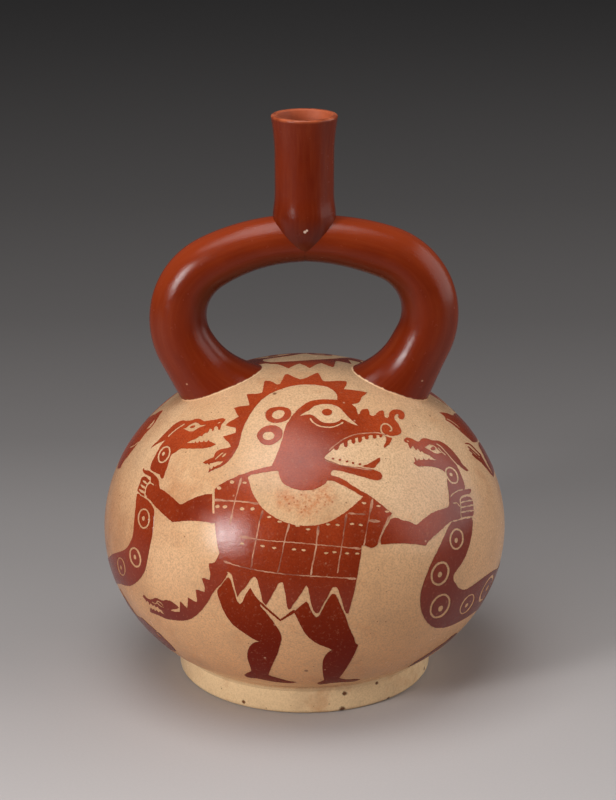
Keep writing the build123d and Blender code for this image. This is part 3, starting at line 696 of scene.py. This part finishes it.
def holds(outline, points):
    """Which points lie inside an outline."""
    inside = np.zeros(len(points), bool)
    near = np.where(((points >= outline.min(0)) & (points <= outline.max(0))).all(1))[0]
    x, y = points[near].T
    odd = np.zeros(len(near), bool)
    for (x0, y0), (x1, y1) in zip(outline, np.roll(outline, -1, 0)):
        if y0 != y1:
            odd ^= ((y0 > y) != (y1 > y)) & (x < x0 + (y - y0) * (x1 - x0) / (y1 - y0))
    inside[near] = odd
    return inside


# Pieces

def new_mesh(name, vertices, faces, materials):
    mesh = bpy.data.meshes.new(name)
    mesh.from_pydata(vertices.tolist(), [], faces)
    mesh.polygons.foreach_set("use_smooth", [True] * len(mesh.polygons))
    for material in materials:
        mesh.materials.append(material)
    return mesh


def red_piece(mesh):
    piece = bpy.data.objects.new(mesh.name, mesh)
    scene.collection.objects.link(piece)
    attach(piece, "root")
    return piece


def paint(name, layers, materials):
    """A thin coat of slip on the chamber where the last layer over a place is not bare."""
    points, edges = [], []
    for _, outline in layers:
        first = len(points)
        points += [Vector(p) for p in outline]
        edges += [(first + i, first + (i + 1) % len(outline)) for i in range(len(outline))]
    reach = np.concatenate([outline for _, outline in layers])
    low, high = reach.min(0), reach.max(0)
    for row, v in enumerate(np.arange(low[1], high[1], PAINT_GRID * math.sqrt(3) / 2)):
        for u in np.arange(low[0] + row % 2 * PAINT_GRID / 2, high[0], PAINT_GRID):
            points.append(Vector((u, v)))
    flat, _, faces = geometry.delaunay_2d_cdt(points, edges, [], 0, LEAST_GAP)[:3]
    flat = np.array([tuple(p) for p in flat])
    faces = np.array([f for f in faces if len(f) == 3])
    corners = flat[faces]
    area = np.cross(corners[:, 1] - corners[:, 0], corners[:, 2] - corners[:, 0])
    centres, tone = corners.mean(1), np.zeros(len(faces), int)
    for colour, outline in layers:
        tone[holds(outline, centres)] = colour
    kept = (tone != BARE) & (np.abs(area) > LEAST_AREA)
    faces, tone = faces[kept], tone[kept]
    used, faces = np.unique(faces, return_inverse=True)
    faces = faces.reshape(-1, 3)
    top, normals = on_surface(flat[used], PAINT_LIFT)
    root, _ = on_surface(flat[used], -PAINT_ROOT)
    sides = dict.fromkeys(edge for a, b, c in faces for edge in ((a, b), (b, c), (c, a)))
    rim = [edge for edge in sides if (edge[1], edge[0]) not in sides]
    rim_points = sorted({p for edge in rim for p in edge})
    below = {p: len(top) + i for i, p in enumerate(rim_points)}
    skirt = [(b, a, below[a], below[b]) for a, b in rim]
    faces = [tuple(map(int, f)) for f in faces] + skirt
    mesh = new_mesh(name, np.concatenate([top, root[rim_points]]), faces, materials)
    mesh.polygons.foreach_set("material_index", [int(t) - RED for t in tone] + [0] * len(skirt))
    mesh.normals_split_custom_set_from_vertices(np.concatenate([normals, normals[rim_points]]).tolist())
    red_piece(mesh)


class Arm:
    """Centreline, girth and surface of one arm, in millimetres."""

    def __init__(self, side, arch_radius, arch_angle, shoulder_radius, leg_slope):
        self.side, self.arch_radius, self.shoulder_radius = side, arch_radius, shoulder_radius
        self.arch = arch_radius * math.radians(arch_angle)
        self.shoulder = shoulder_radius * math.radians(180 - leg_slope - arch_angle)

        def sunk(length):
            x, z, _ = self.centreline(length)
            return self.dome_gap(x, 0, z, 0) < 0

        bend = self.arch + self.shoulder
        self.length = float(halved(bend, bend + CROWN_RISE, sunk))

    @staticmethod
    def dome_gap(x, y, z, sink):
        flat = (x**2 + y**2) / (CHAMBER_RADIUS - sink) ** 2
        return flat + (z - SEAM_HEIGHT) ** 2 / (CROWN_RISE - sink) ** 2 - 1

    def centreline(self, length):
        arch, shoulder = self.arch_radius, self.shoulder_radius
        turn = np.minimum(length, self.arch) / arch
        bent = turn + np.clip(length - self.arch, 0, self.shoulder) / shoulder
        leg = np.maximum(length - self.arch - self.shoulder, 0)
        x = arch * np.sin(turn) + shoulder * (np.sin(bent) - np.sin(turn))
        z = ARCH_HEIGHT - arch * (1 - np.cos(turn)) + shoulder * (np.cos(bent) - np.cos(turn))
        return x + leg * np.cos(bent), z - leg * np.sin(bent), bent

    def surface(self, length, around, inset):
        """Place on the arm; around is measured from the front towards the outer side."""
        x, z, turn = self.centreline(length)
        radius = ARM_TOP_RADIUS + (ARM_FOOT_RADIUS - ARM_TOP_RADIUS) * length / self.length - inset
        lean = np.zeros_like(radius)
        if inset == 0:
            drop = np.clip((length - self.length + COLLAR_RISE) / COLLAR_RISE, 0, 2)
            lean = COLLAR_REACH / 2 * drop**COLLAR_CURVE
            ease = np.clip(drop, 0, 1)
            wobble = np.sin(length / WOBBLE_LENGTH + self.side) * np.sin(2 * around + length / WOBBLE_TWIST)
            radius = radius + COLLAR_EDGE * ease**2 * (3 - 2 * ease) + ARM_WOBBLE * wobble
        out = (radius + lean) * np.sin(around) - lean
        breadth = radius + COLLAR_SPREAD / (COLLAR_REACH / 2) * lean
        return self.side * (x + out * np.sin(turn)), -breadth * np.cos(around), z + out * np.cos(turn)

    def start(self, around, inset):
        """Length at which a line along the arm comes out of the spout's nose."""
        radius = ARM_TOP_RADIUS - inset
        depth = (ARM_TOP_RADIUS - radius * np.sin(around)) / NOSE_WALL_DEPTH
        wall = NOSE_WALL_RADIUS * np.sqrt(np.maximum(1 - depth**2, 0))
        return np.sqrt(np.maximum(wall**2 - (radius * np.cos(around)) ** 2, 0))

    def end(self, around, inset, sink):
        """Length at which a line along the arm goes into the dome."""
        middle = np.full_like(around, self.length)
        return halved(
            middle - 2 * COLLAR_RISE,
            middle + 2 * COLLAR_RISE,
            lambda length: self.dome_gap(*self.surface(length, around, inset), sink) < 0,
        )


def add_arm(name, nodes, sizes, material):
    """One arm with its collar as a single hollow tube, from the spout's nose into the dome."""
    arm = Arm(*sizes)
    around = np.linspace(0, 2 * math.pi, ARM_SIDES, endpoint=False)
    share = np.linspace(0, 1, ARM_STEPS)[:, None]
    vertices, grain, joint = [], [], []
    for inset, sink in ((0, ARM_SINK), (ARM_WALL, 2 * ARM_SINK)):
        start, end = arm.start(around, inset), arm.end(around, inset, sink)
        length = start + share * (end - start)
        angle = np.broadcast_to(around, length.shape)
        streak = GRAIN_RADIUS * np.cos(angle), GRAIN_RADIUS * np.sin(angle), length
        vertices.append(np.stack(arm.surface(length, angle, inset), -1).reshape(-1, 3))
        grain.append(np.stack(streak, -1).reshape(-1, 3))
        joint.append((end - length).ravel())
    inner = ARM_STEPS * ARM_SIDES  # first point of the inside
    last = inner - ARM_SIDES  # first point of the last ring
    faces, ends = [], set()

    def quad(*corners):
        faces.append(corners if arm.side > 0 else corners[::-1])

    for j in range(ARM_SIDES):
        k = (j + 1) % ARM_SIDES
        for ring in range(0, last, ARM_SIDES):
            a, b, c, d = ring + j, ring + k, ring + ARM_SIDES + k, ring + ARM_SIDES + j
            quad(a, b, c, d)
            quad(inner + d, inner + c, inner + b, inner + a)
        quad(inner + j, inner + k, k, j)
        quad(last + j, last + k, inner + last + k, inner + last + j)
        ends |= {frozenset((ring + j, ring + k)) for ring in (0, last, inner, inner + last)}
    mesh = new_mesh(name, np.concatenate(vertices) * MM, faces, [material])
    mesh.edges.foreach_set("use_edge_sharp", [frozenset(e.vertices) in ends for e in mesh.edges])
    grains = mesh.attributes.new("grain", "FLOAT_VECTOR", "POINT")
    grains.data.foreach_set("vector", (np.concatenate(grain) * MM).ravel())
    joints = mesh.attributes.new("joint", "FLOAT", "POINT")
    joints.data.foreach_set("value", np.concatenate(joint) * MM)
    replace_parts(red_piece(mesh), *nodes)


# Materials

GLOSS, PAINT_GLOSS, DULL_GLOSS = 0.30, 0.38, 0.08  # specular levels
BUMP_DEPTH, BUMP, PAINT_BUMP = 0.0003, 0.24, 0.28  # metres, and strengths
CELLS_SOFT, SPECK_SOFT = 0.6, 0.5  # where specks are full, as a share of where they begin
RAGGED, RAGGED_SCALE = 0.9, 1.2  # unevenness of a spot's edge, and its scale times the radius

# Colours
# The low cream is painted shade; the foot's cream is partly painted light
CREAM_HIGH, CREAM_LOW_SHADED, CREAM_FOOT = (0.89, 0.575, 0.33), (0.80, 0.37, 0.150), (0.97, 0.68, 0.38)
# The tan tint is painted shade at the chamber's sides
CREAM_DEEP, CREAM_GREY, SIDE_SHADE_TINT = (0.70, 0.36, 0.16), (0.45, 0.26, 0.14), (0.66, 0.50, 0.41)
SPECK_BROWN, RUST = (0.17, 0.062, 0.024), (0.60, 0.22, 0.075)
STAIN_ORANGE, STAIN_BROWN = (0.60, 0.18, 0.055), (0.40, 0.085, 0.022)
# The high red is a painted top light and sheen, the low red painted shade
RED_HIGH_LIT, RED_LOW_SHADED, RED_DEEP = (0.50, 0.069, 0.0155), (0.168, 0.0100, 0.0014), (0.168, 0.0118, 0.0018)
ARM_LIGHT, ARM_DEEP, ARM_WORN = (0.25, 0.029, 0.0048), (0.155, 0.0135, 0.0021), (0.34, 0.062, 0.017)
# Painted shade for the underside of the arch and the spout's nose, and painted light for the top of the arch
ARM_PAINTED_SHADE, ARM_TOP_PAINTED_LIGHT = (0.06, 0.0045, 0.001), (0.42, 0.058, 0.013)
PALE_LIGHT, PALE_DEEP = (0.64, 0.34, 0.20), (0.42, 0.14, 0.07)
MOUTH_LIGHT, MOUTH_DEEP, CHIP_PALE = (0.56, 0.13, 0.05), (0.38, 0.075, 0.027), (0.80, 0.56, 0.42)
CLAY_LIGHT, CLAY_DEEP = (0.42, 0.20, 0.11), (0.30, 0.13, 0.07)
PAPER_GREY, PAPER_TINT = (0.3, 0.28, 0.27), (1.0, 0.93, 0.91)
PAPER_NEAR, PAPER_FAR = -0.6, 1.8  # metres of floor over which the paper darkens
PAPER_PAINTED_SHADE = [  # metres behind the bottle, and painted shade of the paper
    (-0.5, 0.16), (-0.25, 0.38), (-0.14, 0.56), (-0.06, 0.50), (0.0, 0.42), (0.12, 0.32), (0.3, 0.21),
    (0.55, 0.15), (0.9, 0.125), (1.7, 0.115),
]

# Places between which colours change, in metres
# Painted shade lower down on the cream, and where the foot's partly painted light begins
CREAM_SHADE_LEVELS, FOOT_LEVELS = (0.02, 0.11), (0.0144, 0.0124)
# Painted shade towards the chamber's left and right sides
SIDE_SHADE_LEFT, SIDE_SHADE_RIGHT, SIDE_SHADE_LEVELS = (-0.050, -0.088), (0.035, 0.085), (0.06, 0.09)
# Painted shade and top light on the red by height, and painted shade on its right side
RED_SHADE_LEVELS, RED_SHADE_RIGHT = (0.045, 0.115), (0.048, 0.072)
# Painted shade on the red behind the crown
CROWN_SHADE_BEHIND, CROWN_SHADE_LEVELS = (-0.004, 0.008), (0.128, 0.136)
ARM_EDGE, ARM_EDGE_WAVE = (0.0006, 0.0002), 0.0012
# Painted shade under the arch
ARM_UNDER, UNDER_LEVELS = (-0.003, -0.011), (0.150, 0.178)
# Painted light on top of the arch
ARM_OVER, OVER_LEVELS = (0.002, 0.011), (0.165, 0.195)
# Painted shade on the spout's nose
LIP_LEVELS, NOSE_SHADE_LEVELS = (0.2493, 0.2506), (0.214, 0.198)
MOUTH_RADII, MOUTH_LEVELS = (0.0124, 0.0119), (0.2068, 0.2074)

# Noise: scale, detail and roughness
GRAIN, TOOTH, SHEEN = (1300.0, 3.0, 0.6), (1700.0, 3.0), (300.0, 4.0)


class Shader:
    """A material under construction."""

    def __init__(self, name):
        self.material = bpy.data.materials.new(name)
        self.material.use_nodes = True
        self.tree = self.material.node_tree
        self.bsdf = self.tree.nodes["Principled BSDF"]

    def feed(self, node, inputs):
        """Links or sets a node's inputs."""
        for key, value in inputs.items():
            socket = node.inputs[key]
            if isinstance(value, bpy.types.NodeSocket):
                self.tree.links.new(value, socket)
            else:
                socket.default_value = (*value, 1.0) if socket.type == "RGBA" else value

    def node(self, kind, inputs, out=0, **settings):
        """A node with its inputs linked or set; returns the chosen output."""
        node = self.tree.nodes.new(kind)
        for key, value in settings.items():
            setattr(node, key, value)
        self.feed(node, inputs)
        return node.outputs[out]

    def coordinates(self, stretch=(1, 1, 1), attribute=None):
        if attribute:
            source = self.node("ShaderNodeAttribute", {}, "Vector", attribute_name=attribute)
        else:
            source = self.node("ShaderNodeTexCoord", {}, "Object")
        return self.node("ShaderNodeMapping", {"Vector": source, "Scale": stretch})

    def along(self, vector, axis):
        return self.node("ShaderNodeSeparateXYZ", {"Vector": vector}, axis)

    def noise(self, vector, scale, detail=3.0, roughness=0.55):
        inputs = {"Vector": vector, "Scale": scale, "Detail": detail, "Roughness": roughness}
        return self.node("ShaderNodeTexNoise", inputs, "Fac")

    def fit(self, value, low, high, new_low=0.0, new_high=1.0):
        inputs = {"Value": value, "From Min": low, "From Max": high, "To Min": new_low, "To Max": new_high}
        return self.node("ShaderNodeMapRange", inputs)

    def patches(self, vector, noise, *limits):
        """Noise that is fitted to limits."""
        return self.fit(self.noise(vector, *noise), *limits)

    def math(self, operation, a, b):
        return self.node("ShaderNodeMath", {0: a, 1: b}, operation=operation)

    def times(self, a, b):
        return self.math("MULTIPLY", a, b)

    def mix(self, factor, a, b, blend="MIX"):
        inputs = {0: factor, 6: a, 7: b}
        return self.node("ShaderNodeMix", inputs, 2, data_type="RGBA", blend_type=blend)

    def specks(self, vector, scale, share, size):
        """Small spots: some cells of a cellular pattern, each with a spot at its middle."""
        cells = self.tree.nodes.new("ShaderNodeTexVoronoi")
        self.feed(cells, {"Vector": vector, "Scale": scale})
        lucky = self.node("ShaderNodeSeparateColor", {"Color": cells.outputs["Color"]})
        chosen = self.fit(lucky, share, share * CELLS_SOFT)
        return self.times(chosen, self.fit(cells.outputs["Distance"], size, size * SPECK_SOFT))

    def spot(self, vector, place, radius, inner, outer):
        """A ragged spot round a place on the surface."""
        ragged = self.times(self.noise(vector, RAGGED_SCALE / radius), RAGGED)
        ends = {0: vector, 1: tuple(place)}
        away = self.node("ShaderNodeVectorMath", ends, "Value", operation="DISTANCE")
        ragged = self.math("SUBTRACT", ragged, RAGGED / 2)
        share = self.math("ADD", self.math("DIVIDE", away, radius), ragged)
        return self.fit(share, outer, inner)

    def finish(self, colour, roughness, height=None, strength=0.1, gloss=GLOSS):
        self.feed(self.bsdf, {"Base Color": colour, "Roughness": roughness, "Specular IOR Level": gloss})
        if height is not None:
            bump = {"Height": height, "Strength": strength, "Distance": BUMP_DEPTH}
            self.feed(self.bsdf, {"Normal": self.node("ShaderNodeBump", bump)})
        return self.material


def cream_slip():
    """Cream slip, stained, pitted and speckled, with painted shade that makes it browner lower down and
    towards the sides, and a paler foot that is partly painted light.
    """
    shader = Shader("cream_slip_burnished")
    place = shader.coordinates()
    level = shader.along(place, "Z")
    # Painted shade: the cream darker and browner lower down on the chamber
    colour = shader.mix(shader.fit(level, *CREAM_SHADE_LEVELS), CREAM_LOW_SHADED, CREAM_HIGH)
    cloud = shader.patches(place, (16.0, 5.0), 0.42, 0.66)
    colour = shader.mix(shader.times(cloud, 0.6), colour, CREAM_DEEP)
    # Paler at the foot ring: partly the foot's own paler slip, partly painted light
    foot = shader.fit(level, *FOOT_LEVELS)
    colour = shader.mix(foot, colour, CREAM_FOOT)
    smudge = shader.patches(place, (60.0, 6.0, 0.65), 0.52, 0.75)
    colour = shader.mix(shader.times(smudge, 0.4), colour, CREAM_GREY)
    rust = shader.patches(place, (34.0, 8.0, 0.72), 0.54, 0.68)
    colour = shader.mix(shader.times(rust, 0.5), colour, RUST)
    grain = shader.times(shader.patches(place, GRAIN, 0.4, 0.72), shader.fit(foot, 0.0, 1.0, 0.7, 0.3))
    colour = shader.mix(grain, colour, CREAM_GREY)
    # Painted shade: a tan multiplied over the cream towards the left and right sides, with a ragged edge
    ragged = shader.patches(place, (22.0, 6.0, 0.6), 0.35, 0.65, -0.016, 0.016)
    across = shader.math("ADD", shader.along(place, "X"), ragged)
    colour = shader.mix(shader.fit(across, *SIDE_SHADE_LEFT, 0.0, 0.9), colour, SIDE_SHADE_TINT, "MULTIPLY")
    right = shader.times(shader.fit(across, *SIDE_SHADE_RIGHT, 0.0, 0.3), shader.fit(level, *SIDE_SHADE_LEVELS))
    colour = shader.mix(right, colour, SIDE_SHADE_TINT, "MULTIPLY")
    for middle, size in FOOT_PITS:
        colour = shader.mix(shader.spot(place, middle, size, 0.55, 1.0), colour, SPECK_BROWN)
    blotch = shader.patches(place, (520.0, 6.0, 0.75), 0.45, 0.66, 0.16, 0.85)
    dots = shader.specks(place, 620.0, 0.45, 0.36)
    for pixel, radius in STAINS:
        stain = shader.spot(place, on_surface(from_pixels([pixel]), 0)[0][0], radius, 0.35, 1.05)
        colour = shader.mix(shader.times(stain, blotch), colour, STAIN_ORANGE)
        colour = shader.mix(shader.times(stain, dots), colour, STAIN_BROWN)
    grit = shader.specks(place, 300.0, 0.26, 0.12)
    colour = shader.mix(shader.times(grit, 0.75), colour, SPECK_BROWN)
    pits = shader.specks(place, 75.0, 0.08, 0.085)
    colour = shader.mix(pits, colour, SPECK_BROWN)
    roughness = shader.patches(place, SHEEN, 0.3, 0.7, 0.17, 0.28)
    height = shader.math("SUBTRACT", shader.noise(place, *TOOTH), pits)
    return shader.finish(colour, roughness, height, BUMP)


def painted_red(name, gloss):
    """Red slip of the painting, a little worn, with painted shade that deepens it lower down, on the right
    and behind the crown, and a painted top light and sheen that lighten it high up.
    """
    shader = Shader(name)
    place = shader.coordinates()
    level = shader.along(place, "Z")
    # Painted light: the red lighter and paler high up, a painted top light and sheen, and darker lower down,
    # painted shade
    colour = shader.mix(shader.fit(level, *RED_SHADE_LEVELS), RED_LOW_SHADED, RED_HIGH_LIT)
    wash = shader.patches(shader.coordinates((1.0, 1.0, 0.4)), (26.0, 6.0, 0.6), 0.40, 0.70)
    colour = shader.mix(shader.times(wash, 0.7), colour, RED_DEEP)
    # Painted shade: the red deeper on the bottle's right side
    right = shader.fit(shader.along(place, "X"), *RED_SHADE_RIGHT, 0.0, 0.6)
    colour = shader.mix(right, colour, RED_DEEP)
    # Painted shade: the red deeper behind the crown
    behind = shader.fit(shader.along(place, "Y"), *CROWN_SHADE_BEHIND, 0.0, 0.6)
    colour = shader.mix(shader.times(behind, shader.fit(level, *CROWN_SHADE_LEVELS)), colour, RED_DEEP)
    colour = shader.mix(shader.patches(place, GRAIN, 0.4, 0.72, 0.0, 0.5), colour, RED_DEEP)
    colour = shader.mix(shader.patches(place, (700.0, 5.0, 0.7), 0.57, 0.72, 0.0, 0.6), colour, PALE_DEEP)
    grit = shader.specks(place, 240.0, 0.08, 0.15)
    colour = shader.mix(shader.times(grit, 0.7), colour, PALE_LIGHT)
    roughness = shader.patches(place, SHEEN, 0.3, 0.7, 0.14, 0.26)
    return shader.finish(colour, roughness, shader.noise(place, *TOOTH), PAINT_BUMP, gloss)


def worn_line():
    """Red slip scraped or worn to a pale line."""
    shader = Shader("red_slip_worn")
    place = shader.coordinates()
    colour = shader.mix(shader.patches(place, SHEEN, 0.35, 0.65), PALE_LIGHT, PALE_DEEP)
    colour = shader.mix(shader.patches(place, (110.0, 4.0), 0.50, 0.62, 0.0, 0.75), colour, RED_DEEP)
    roughness = shader.patches(place, (110.0, 4.0), 0.3, 0.7, 0.4, 0.52)
    return shader.finish(colour, roughness, shader.noise(place, 420.0, 4.0), 0.12)


def burnished_red(name, attribute=None):
    """Red slip rubbed with a pebble lengthwise, which leaves fine streaks."""
    shader = Shader(name)
    place = shader.coordinates(attribute=attribute)
    streaks = shader.noise(shader.coordinates((1.0, 1.0, 0.06), attribute), 620.0)
    wash = shader.patches(shader.coordinates((1.0, 1.0, 0.5), attribute), (45.0, 5.0), 0.3, 0.7)
    colour = shader.mix(wash, ARM_LIGHT, ARM_DEEP)
    colour = shader.mix(shader.fit(streaks, 0.45, 0.75, 0.0, 0.22), colour, ARM_WORN)
    grit = shader.specks(place, 190.0, 0.10, 0.10)
    colour = shader.mix(shader.times(grit, 0.8), colour, PALE_LIGHT)
    roughness = shader.patches(place, (350.0, 4.0), 0.3, 0.7, 0.16, 0.28)
    return shader, colour, roughness, shader.math("ADD", streaks, shader.noise(place, *TOOTH))


def arm_slip():
    """The same slip, with painted shade under the arch and painted light on top of it, and a thin worn line
    where it meets the dome.
    """
    shader, colour, roughness, height = burnished_red("red_slip_arm", "grain")
    place = shader.coordinates()
    joint = shader.node("ShaderNodeAttribute", {}, "Fac", attribute_name="joint")
    wave = shader.times(shader.noise(place, 420.0, 4.0), ARM_EDGE_WAVE)
    edge = shader.fit(shader.math("SUBTRACT", joint, wave), *ARM_EDGE)
    colour = shader.mix(edge, colour, CREAM_HIGH)
    outer = shader.along(shader.node("ShaderNodeAttribute", {}, "Vector", attribute_name="grain"), "Y")
    level = shader.along(place, "Z")
    # Painted shade: the slip darker on the arms' inner side under the arch
    painted_under_shade = shader.times(shader.fit(outer, *ARM_UNDER, 0.0, 0.85), shader.fit(level, *UNDER_LEVELS))
    # Painted light: the slip paler on the arms' outer side high on the arch
    painted_top_light = shader.times(shader.fit(outer, *ARM_OVER, 0.0, 0.5), shader.fit(level, *OVER_LEVELS))
    colour = shader.mix(painted_top_light, shader.mix(painted_under_shade, colour, ARM_PAINTED_SHADE), ARM_TOP_PAINTED_LIGHT)
    return shader.finish(colour, roughness, height, BUMP)


def spout_slip():
    """The same slip, worn at the lip, left rough inside the mouth, chipped above the arms and darkened on the
    nose with painted shade.
    """
    shader, colour, roughness, height = burnished_red("red_slip_spout")
    place = shader.node("ShaderNodeTexCoord", {}, "Object")
    level = shader.along(place, "Z")
    flat = shader.node("ShaderNodeVectorMath", {0: place, 1: (1.0, 1.0, 0.0)}, operation="MULTIPLY")
    radius = shader.node("ShaderNodeVectorMath", {0: flat}, "Value", operation="LENGTH")
    mottle = shader.noise(place, 160.0, 5.0)
    lip = shader.times(shader.fit(level, *LIP_LEVELS), shader.fit(mottle, 0.3, 0.6))
    colour = shader.mix(lip, colour, MOUTH_LIGHT)
    # Painted shade: the nose between the arms darkened
    colour = shader.mix(shader.fit(level, *NOSE_SHADE_LEVELS, 0.0, 0.55), colour, ARM_PAINTED_SHADE)
    inside = shader.times(shader.fit(radius, *MOUTH_RADII), shader.fit(level, *MOUTH_LEVELS))
    colour = shader.mix(inside, colour, shader.mix(mottle, MOUTH_LIGHT, MOUTH_DEEP))
    for middle, size in CHIP:
        colour = shader.mix(shader.spot(place, middle, size, 0.75, 1.0), colour, CHIP_PALE)
    roughness = shader.math("ADD", roughness, shader.times(inside, 0.35))
    return shader.finish(colour, roughness, height, BUMP)


def raw_clay():
    shader = Shader("raw_clay")
    place = shader.coordinates()
    colour = shader.mix(shader.noise(place, 60.0, 4.0), CLAY_LIGHT, CLAY_DEEP)
    roughness = shader.patches(place, (200.0,), 0.3, 0.7, 0.75, 0.9)
    return shader.finish(colour, roughness, shader.noise(place, 500.0, 5.0), 0.3)


def backdrop():
    """Pale paper with painted shade: lightest a little in front of the bottle, darker under and behind it and
    towards the front edge.
    """
    shader = Shader("paper")
    place = shader.coordinates()
    # Painted shade on the paper, along its depth
    ramp = shader.tree.nodes.new("ShaderNodeValToRGB")
    shader.feed(ramp, {"Fac": shader.fit(shader.along(place, "Y"), PAPER_NEAR, PAPER_FAR)})
    stops = ramp.color_ramp.elements
    while len(stops) < len(PAPER_PAINTED_SHADE):
        stops.new(0.5)
    for stop, (distance, shade) in zip(stops, PAPER_PAINTED_SHADE):
        stop.position = (distance - PAPER_NEAR) / (PAPER_FAR - PAPER_NEAR)
        stop.color = (*(shade * part for part in PAPER_TINT), 1.0)
    grain = shader.noise(place, 900.0, 2.0)
    colour = shader.mix(shader.fit(grain, 0.3, 0.7, 0.0, 0.06), ramp.outputs["Color"], PAPER_GREY)
    return shader.finish(colour, shader.fit(grain, 0.3, 0.7, 0.85, 0.95))


# Stage

FLOOR_SIZE, BOTTLE_MIDDLE = 40, Vector((0, 0, 0.11))  # metres
LIGHTS = {  # direction from the bottle's middle, distance, width, height, watts
    "key": ((-0.68, -0.65, 0.33), 1.2, 0.20, 0.30, 7.9),
    "top": ((-0.16, -0.20, 0.97), 1.4, 1.0, 1.0, 12.0),
    "fill": ((0.90, 0.00, 0.36), 1.6, 1.8, 1.3, 12.0),
}
ROOM_COLOUR, ROOM_STRENGTH = (0.9, 0.95, 1.0, 1.0), 0.06


def add_stage():
    bpy.ops.mesh.primitive_plane_add(size=FLOOR_SIZE)
    floor = bpy.context.object
    floor.name = "floor"
    floor.data.materials.append(backdrop())


def add_light(name, direction, distance, width, height, power):
    """A softbox that faces the bottle."""
    data = bpy.data.lights.new(name, "AREA")
    data.shape, data.size, data.size_y, data.energy = "RECTANGLE", width, height, power
    lamp = bpy.data.objects.new(name, data)
    lamp.location = BOTTLE_MIDDLE + Vector(direction).normalized() * distance
    lamp.rotation_euler = (BOTTLE_MIDDLE - lamp.location).to_track_quat("-Z", "Y").to_euler()
    scene.collection.objects.link(lamp)


def add_room():
    world = bpy.data.worlds.new("studio")
    world.use_nodes = True
    background = world.node_tree.nodes["Background"].inputs
    background["Color"].default_value, background["Strength"].default_value = ROOM_COLOUR, ROOM_STRENGTH
    scene.world = world


def dress(material, *nodes):
    """Gives CAD nodes a material."""
    for node in nodes:
        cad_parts[node].data.materials.clear()
        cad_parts[node].data.materials.append(material)


add_camera()
scene.view_settings.view_transform = "Standard"
add_stage()
for name, sizes in LIGHTS.items():
    add_light(name, *sizes)
add_room()

dress(cream_slip(), "lower_chamber", "upper_chamber", "foot_ring", "foot_luting_coil")
dress(raw_clay(), "seam_luting_coil")
dress(spout_slip(), "spout_tube")
arm_red = arm_slip()
for name, sizes in ARMS.items():
    add_arm(f"{name}_arm", (f"{name}_stirrup_arm", f"{name}_luting_collar"), sizes, arm_red)
reds = painted_red("red_slip_painted", PAINT_GLOSS), worn_line(), painted_red("red_slip_dull", DULL_GLOSS)
paint("front_painting", figure(CREST_TOP) + edge_motifs(), reds)
paint("back_painting", turned_to_back(figure(BACK_CREST_TOP)), reds)
